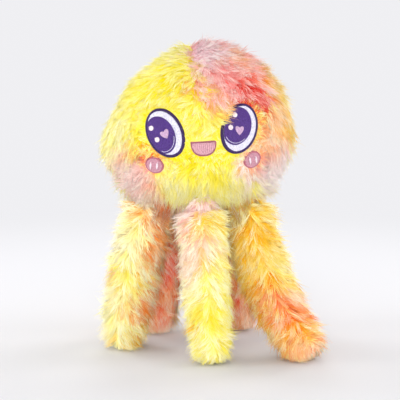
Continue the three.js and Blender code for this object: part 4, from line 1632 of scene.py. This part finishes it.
def neck(line):
    """A ball of gathered cloth."""
    angles = turns(NECK_COLUMNS)
    pleats = (0.5 + 0.5 * np.cos(PLEATS * angles)) ** 2
    rings = []
    for polar in np.linspace(math.pi, 0, NECK_ROWS):
        count = 1 if polar in (0, math.pi) else NECK_COLUMNS
        radius = NECK_RADIUS * math.sin(polar) * (1 - PLEAT_DEPTH * math.sin(polar) * pleats)
        rings.append((round_axis(angles, radius, NECK_RADIUS * math.cos(polar)) + line.hinge)[:count])
    return loft(rings)


def sleeve(line):
    """A tube of fabric closed at the tip."""
    step = np.gradient(line.profile, axis=0)
    normal = unit(np.stack((step[:, 1], -step[:, 0]), 1))
    outer = line.profile - normal * COVER_DEPTH
    inner = line.profile - normal * (COVER_DEPTH + COVER_THICKNESS)
    angles = turns(SLEEVE_COLUMNS)
    rings = []
    for radius, length in np.concatenate((outer[::-1], inner)):
        count = 1 if radius < SLEEVE_END else SLEEVE_COLUMNS
        radii = np.full(count, 0.0 if count == 1 else radius)
        rings.append(line.place(radii, angles[:count], np.full(count, length)))
    return loft(rings)


for number, (name, line) in enumerate(LINES.items()):
    points, faces = neck(line)
    made = make_object(name + "_gathers", points, faces, fur_facts(points, NECK_TIP))
    settle(made, name + "_neck", "neck_cloth", name + "_tentacle_neck", fill=0.6)
    strands = neck_fur(line, np.random.default_rng(NECK_SEEDS["fur"] + number))
    pile = strands_object(name + "_neck_pile", strands, NECK_SEEDS["pile"] + number)
    settle(pile, name + "_neck", "neck_cloth", name + "_tentacle_neck")
    points, faces = sleeve(line)
    made = make_object(name + "_tentacle_cover", points, faces, fur_facts(points))
    settle(made, name + "_tentacle", name + "_tentacle_fur", name + "_tentacle_sleeve", fill=0.8)
    strands = sleeve_fur(name, line, np.random.default_rng(SLEEVE_SEEDS["fur"] + number))
    pile = strands_object(name + "_tentacle_pile", strands, SLEEVE_SEEDS["pile"] + number)
    settle(pile, name + "_tentacle", name + "_tentacle_fur", name + "_tentacle_sleeve")


# Inside: filling and squeaker

FLUFF_GRAIN = 3.0
FLUFF_DENT = 0.6
FLUFF_EDGE = 1.5  # how sharp its dents are
FLUFF_SWIRL = Swirl(seed=8, size=14)


def fluff(node, body):
    """A lump of fibre in the place of a filling."""
    made = add_object(node + "_fibre", frame["nodes"][node].data.copy())
    made.data.materials.clear()
    remesh = made.modifiers.new("even", "REMESH")
    remesh.mode = "VOXEL"
    remesh.voxel_size = FLUFF_GRAIN * MM
    even = bpy.data.meshes.new_from_object(made.evaluated_get(bpy.context.evaluated_depsgraph_get()))
    made.modifiers.clear()
    made.data = even
    points = np.empty(len(even.vertices) * 3, np.float32)
    normals = np.empty_like(points)
    even.vertices.foreach_get("co", points)
    even.vertices.foreach_get("normal", normals)
    points, normals = points.reshape(-1, 3) / MM, normals.reshape(-1, 3)
    dent = FLUFF_DENT + FLUFF_DENT * np.tanh(FLUFF_SWIRL(points)[:, :1] * FLUFF_EDGE)
    points = points - normals * dent
    if body == "head":
        own = points - BELL_PLACE
        points = own * slump(unit(own))[:, None] + BELL_PLACE
    even.vertices.foreach_set("co", (points * MM).astype(np.float32).ravel())
    even.polygons.foreach_set("use_smooth", [True] * len(even.polygons))
    even.update()
    settle(made, body, "filling", node, fill=0.7)


for node in ("bell_filling_lower", "bell_filling_upper"):
    fluff(node, "head")
for name in TENTACLES:
    fluff(name + "_tentacle_filling", name + "_tentacle")


def moulded(node, slot, bevel):
    """A plastic piece with its edges eased."""
    made = add_object(node + "_moulding", frame["nodes"][node].data.copy())
    made.data.materials.clear()
    ease = made.modifiers.new("ease", "BEVEL")
    ease.width = bevel * MM
    ease.segments = 2
    ease.limit_method = "ANGLE"
    settle(made, "head", slot, node)


moulded("squeaker_bulb", "squeaker", bevel=0.25)
moulded("squeaker_nozzle", "squeaker_nozzle", bevel=0.2)
moulded("squeaker_reed", "squeaker_reed", bevel=0.1)


# Studio

FLOOR_RADIUS = 1.0
FLOOR_FADE = (0.22, 0.75)  # how far out the floor fades into the background
PAPER_GRAIN = 700.0
PAPER = ((0.75, 0.748, 0.776), (0.8, 0.798, 0.826))
BACKGROUND = (0.868, 0.866, 0.892, 1.0)
SKY_STRENGTH = 0.53
LAMP_AIM = (0.0, 0.0, 0.13)
# The place of each lamp in metres, its size in metres and its power in watts
LAMPS = {
    "front": ((-0.11, -1.7, 0.2), 0.4, 16.5),
    "key": ((-0.4, -1.8, 1.7), 1.2, 10.5),
    "left": ((-1.9, -0.3, 0.45), 1.0, 14.0),
    "right": ((1.9, -0.3, 0.45), 1.0, 14.0),
    "back_left": ((-1.3, 1.0, 0.8), 0.8, 9.0),
    "back_right": ((1.3, 1.0, 0.8), 0.8, 9.0),
    "behind": ((0.0, 1.7, 1.0), 1.0, 9.0),
}


def studio_floor():
    """A round floor of paper that fades into the background."""
    flat = ellipse((FLOOR_RADIUS, FLOOR_RADIUS)) / MM
    points = np.column_stack((flat, np.zeros(len(flat))))
    made = make_object("studio_floor", points, [tuple(range(len(points)))])
    look = Material("studio_paper")
    place, grain = look.grain(PAPER_GRAIN, detail=4.0)
    look.set(Base_Color=look.blend(grain, *PAPER), Roughness=0.95, Specular_IOR_Level=0.1)
    look.relief(grain, strength=0.05)
    away = look.vectors("LENGTH", {0: place})["Value"]
    fade = look.map(away, *FLOOR_FADE, 0.0, 1.0, "SMOOTHSTEP")
    share = look.maths("MULTIPLY", fade, look.seen_directly())
    far = look.add("Emission", {"Color": BACKGROUND})
    both = look.add("MixShader", {0: share, 1: look.shader.outputs[0], 2: far.outputs[0]})
    look.put(look.nodes["Material Output"].inputs["Surface"], both.outputs[0])
    made.data.materials.append(look.made)


studio_floor()
for name, (place, size, power) in LAMPS.items():
    light = bpy.data.lights.new(name, "AREA")
    light.shape = "DISK"
    light.size = size
    light.energy = power
    made = add_object(name, light)
    made.location = place
    made.rotation_euler = (Vector(LAMP_AIM) - Vector(place)).to_track_quat("-Z", "Y").to_euler()
world = bpy.data.worlds.new("studio")
world.use_nodes = True
sky = Tree(world.node_tree)
light = sky.nodes["Background"]
sky.put(light.inputs["Color"], WHITE)
sky.put(light.inputs["Strength"], SKY_STRENGTH)
seen = sky.add("Background", {"Color": BACKGROUND})
both = sky.add("MixShader", {0: sky.seen_directly(), 1: light.outputs[0], 2: seen.outputs[0]})
sky.put(sky.nodes["World Output"].inputs["Surface"], both.outputs[0])
bpy.context.scene.world = world


# Camera at the photograph's angle

VIEW_AZIMUTH = math.radians(-3.5)
VIEW_ELEVATION = math.radians(5)
VIEW_DISTANCE = 1100.0
VIEW_HEIGHT = 189.0
PIXEL = 0.83  # millimetres to a pixel, at the bell's axis
IMAGE_WIDTH = 400
SENSOR = 36.0
AIM_PIXELS = (2, -78)  # from the middle of the bell to the middle of the picture
target = np.array((BELL_PLACE[0], BELL_PLACE[1], VIEW_HEIGHT))
back = np.array(
    (
        math.sin(VIEW_AZIMUTH) * math.cos(VIEW_ELEVATION),
        -math.cos(VIEW_AZIMUTH) * math.cos(VIEW_ELEVATION),
        math.sin(VIEW_ELEVATION),
    )
)
right = unit(np.cross(UP, back))
over = np.cross(back, right)
aim = target + PIXEL * (AIM_PIXELS[0] * right + AIM_PIXELS[1] * over)
eye_place = target + back * VIEW_DISTANCE
lens = bpy.data.cameras.new("camera")
lens.sensor_width = SENSOR
lens.lens = SENSOR * VIEW_DISTANCE / (IMAGE_WIDTH * PIXEL)
camera = add_object("camera", lens)
camera.location = eye_place * MM
camera.rotation_euler = Vector(aim - eye_place).to_track_quat("-Z", "Y").to_euler()
bpy.context.scene.camera = camera
bpy.context.scene.view_settings.view_transform = "Standard"
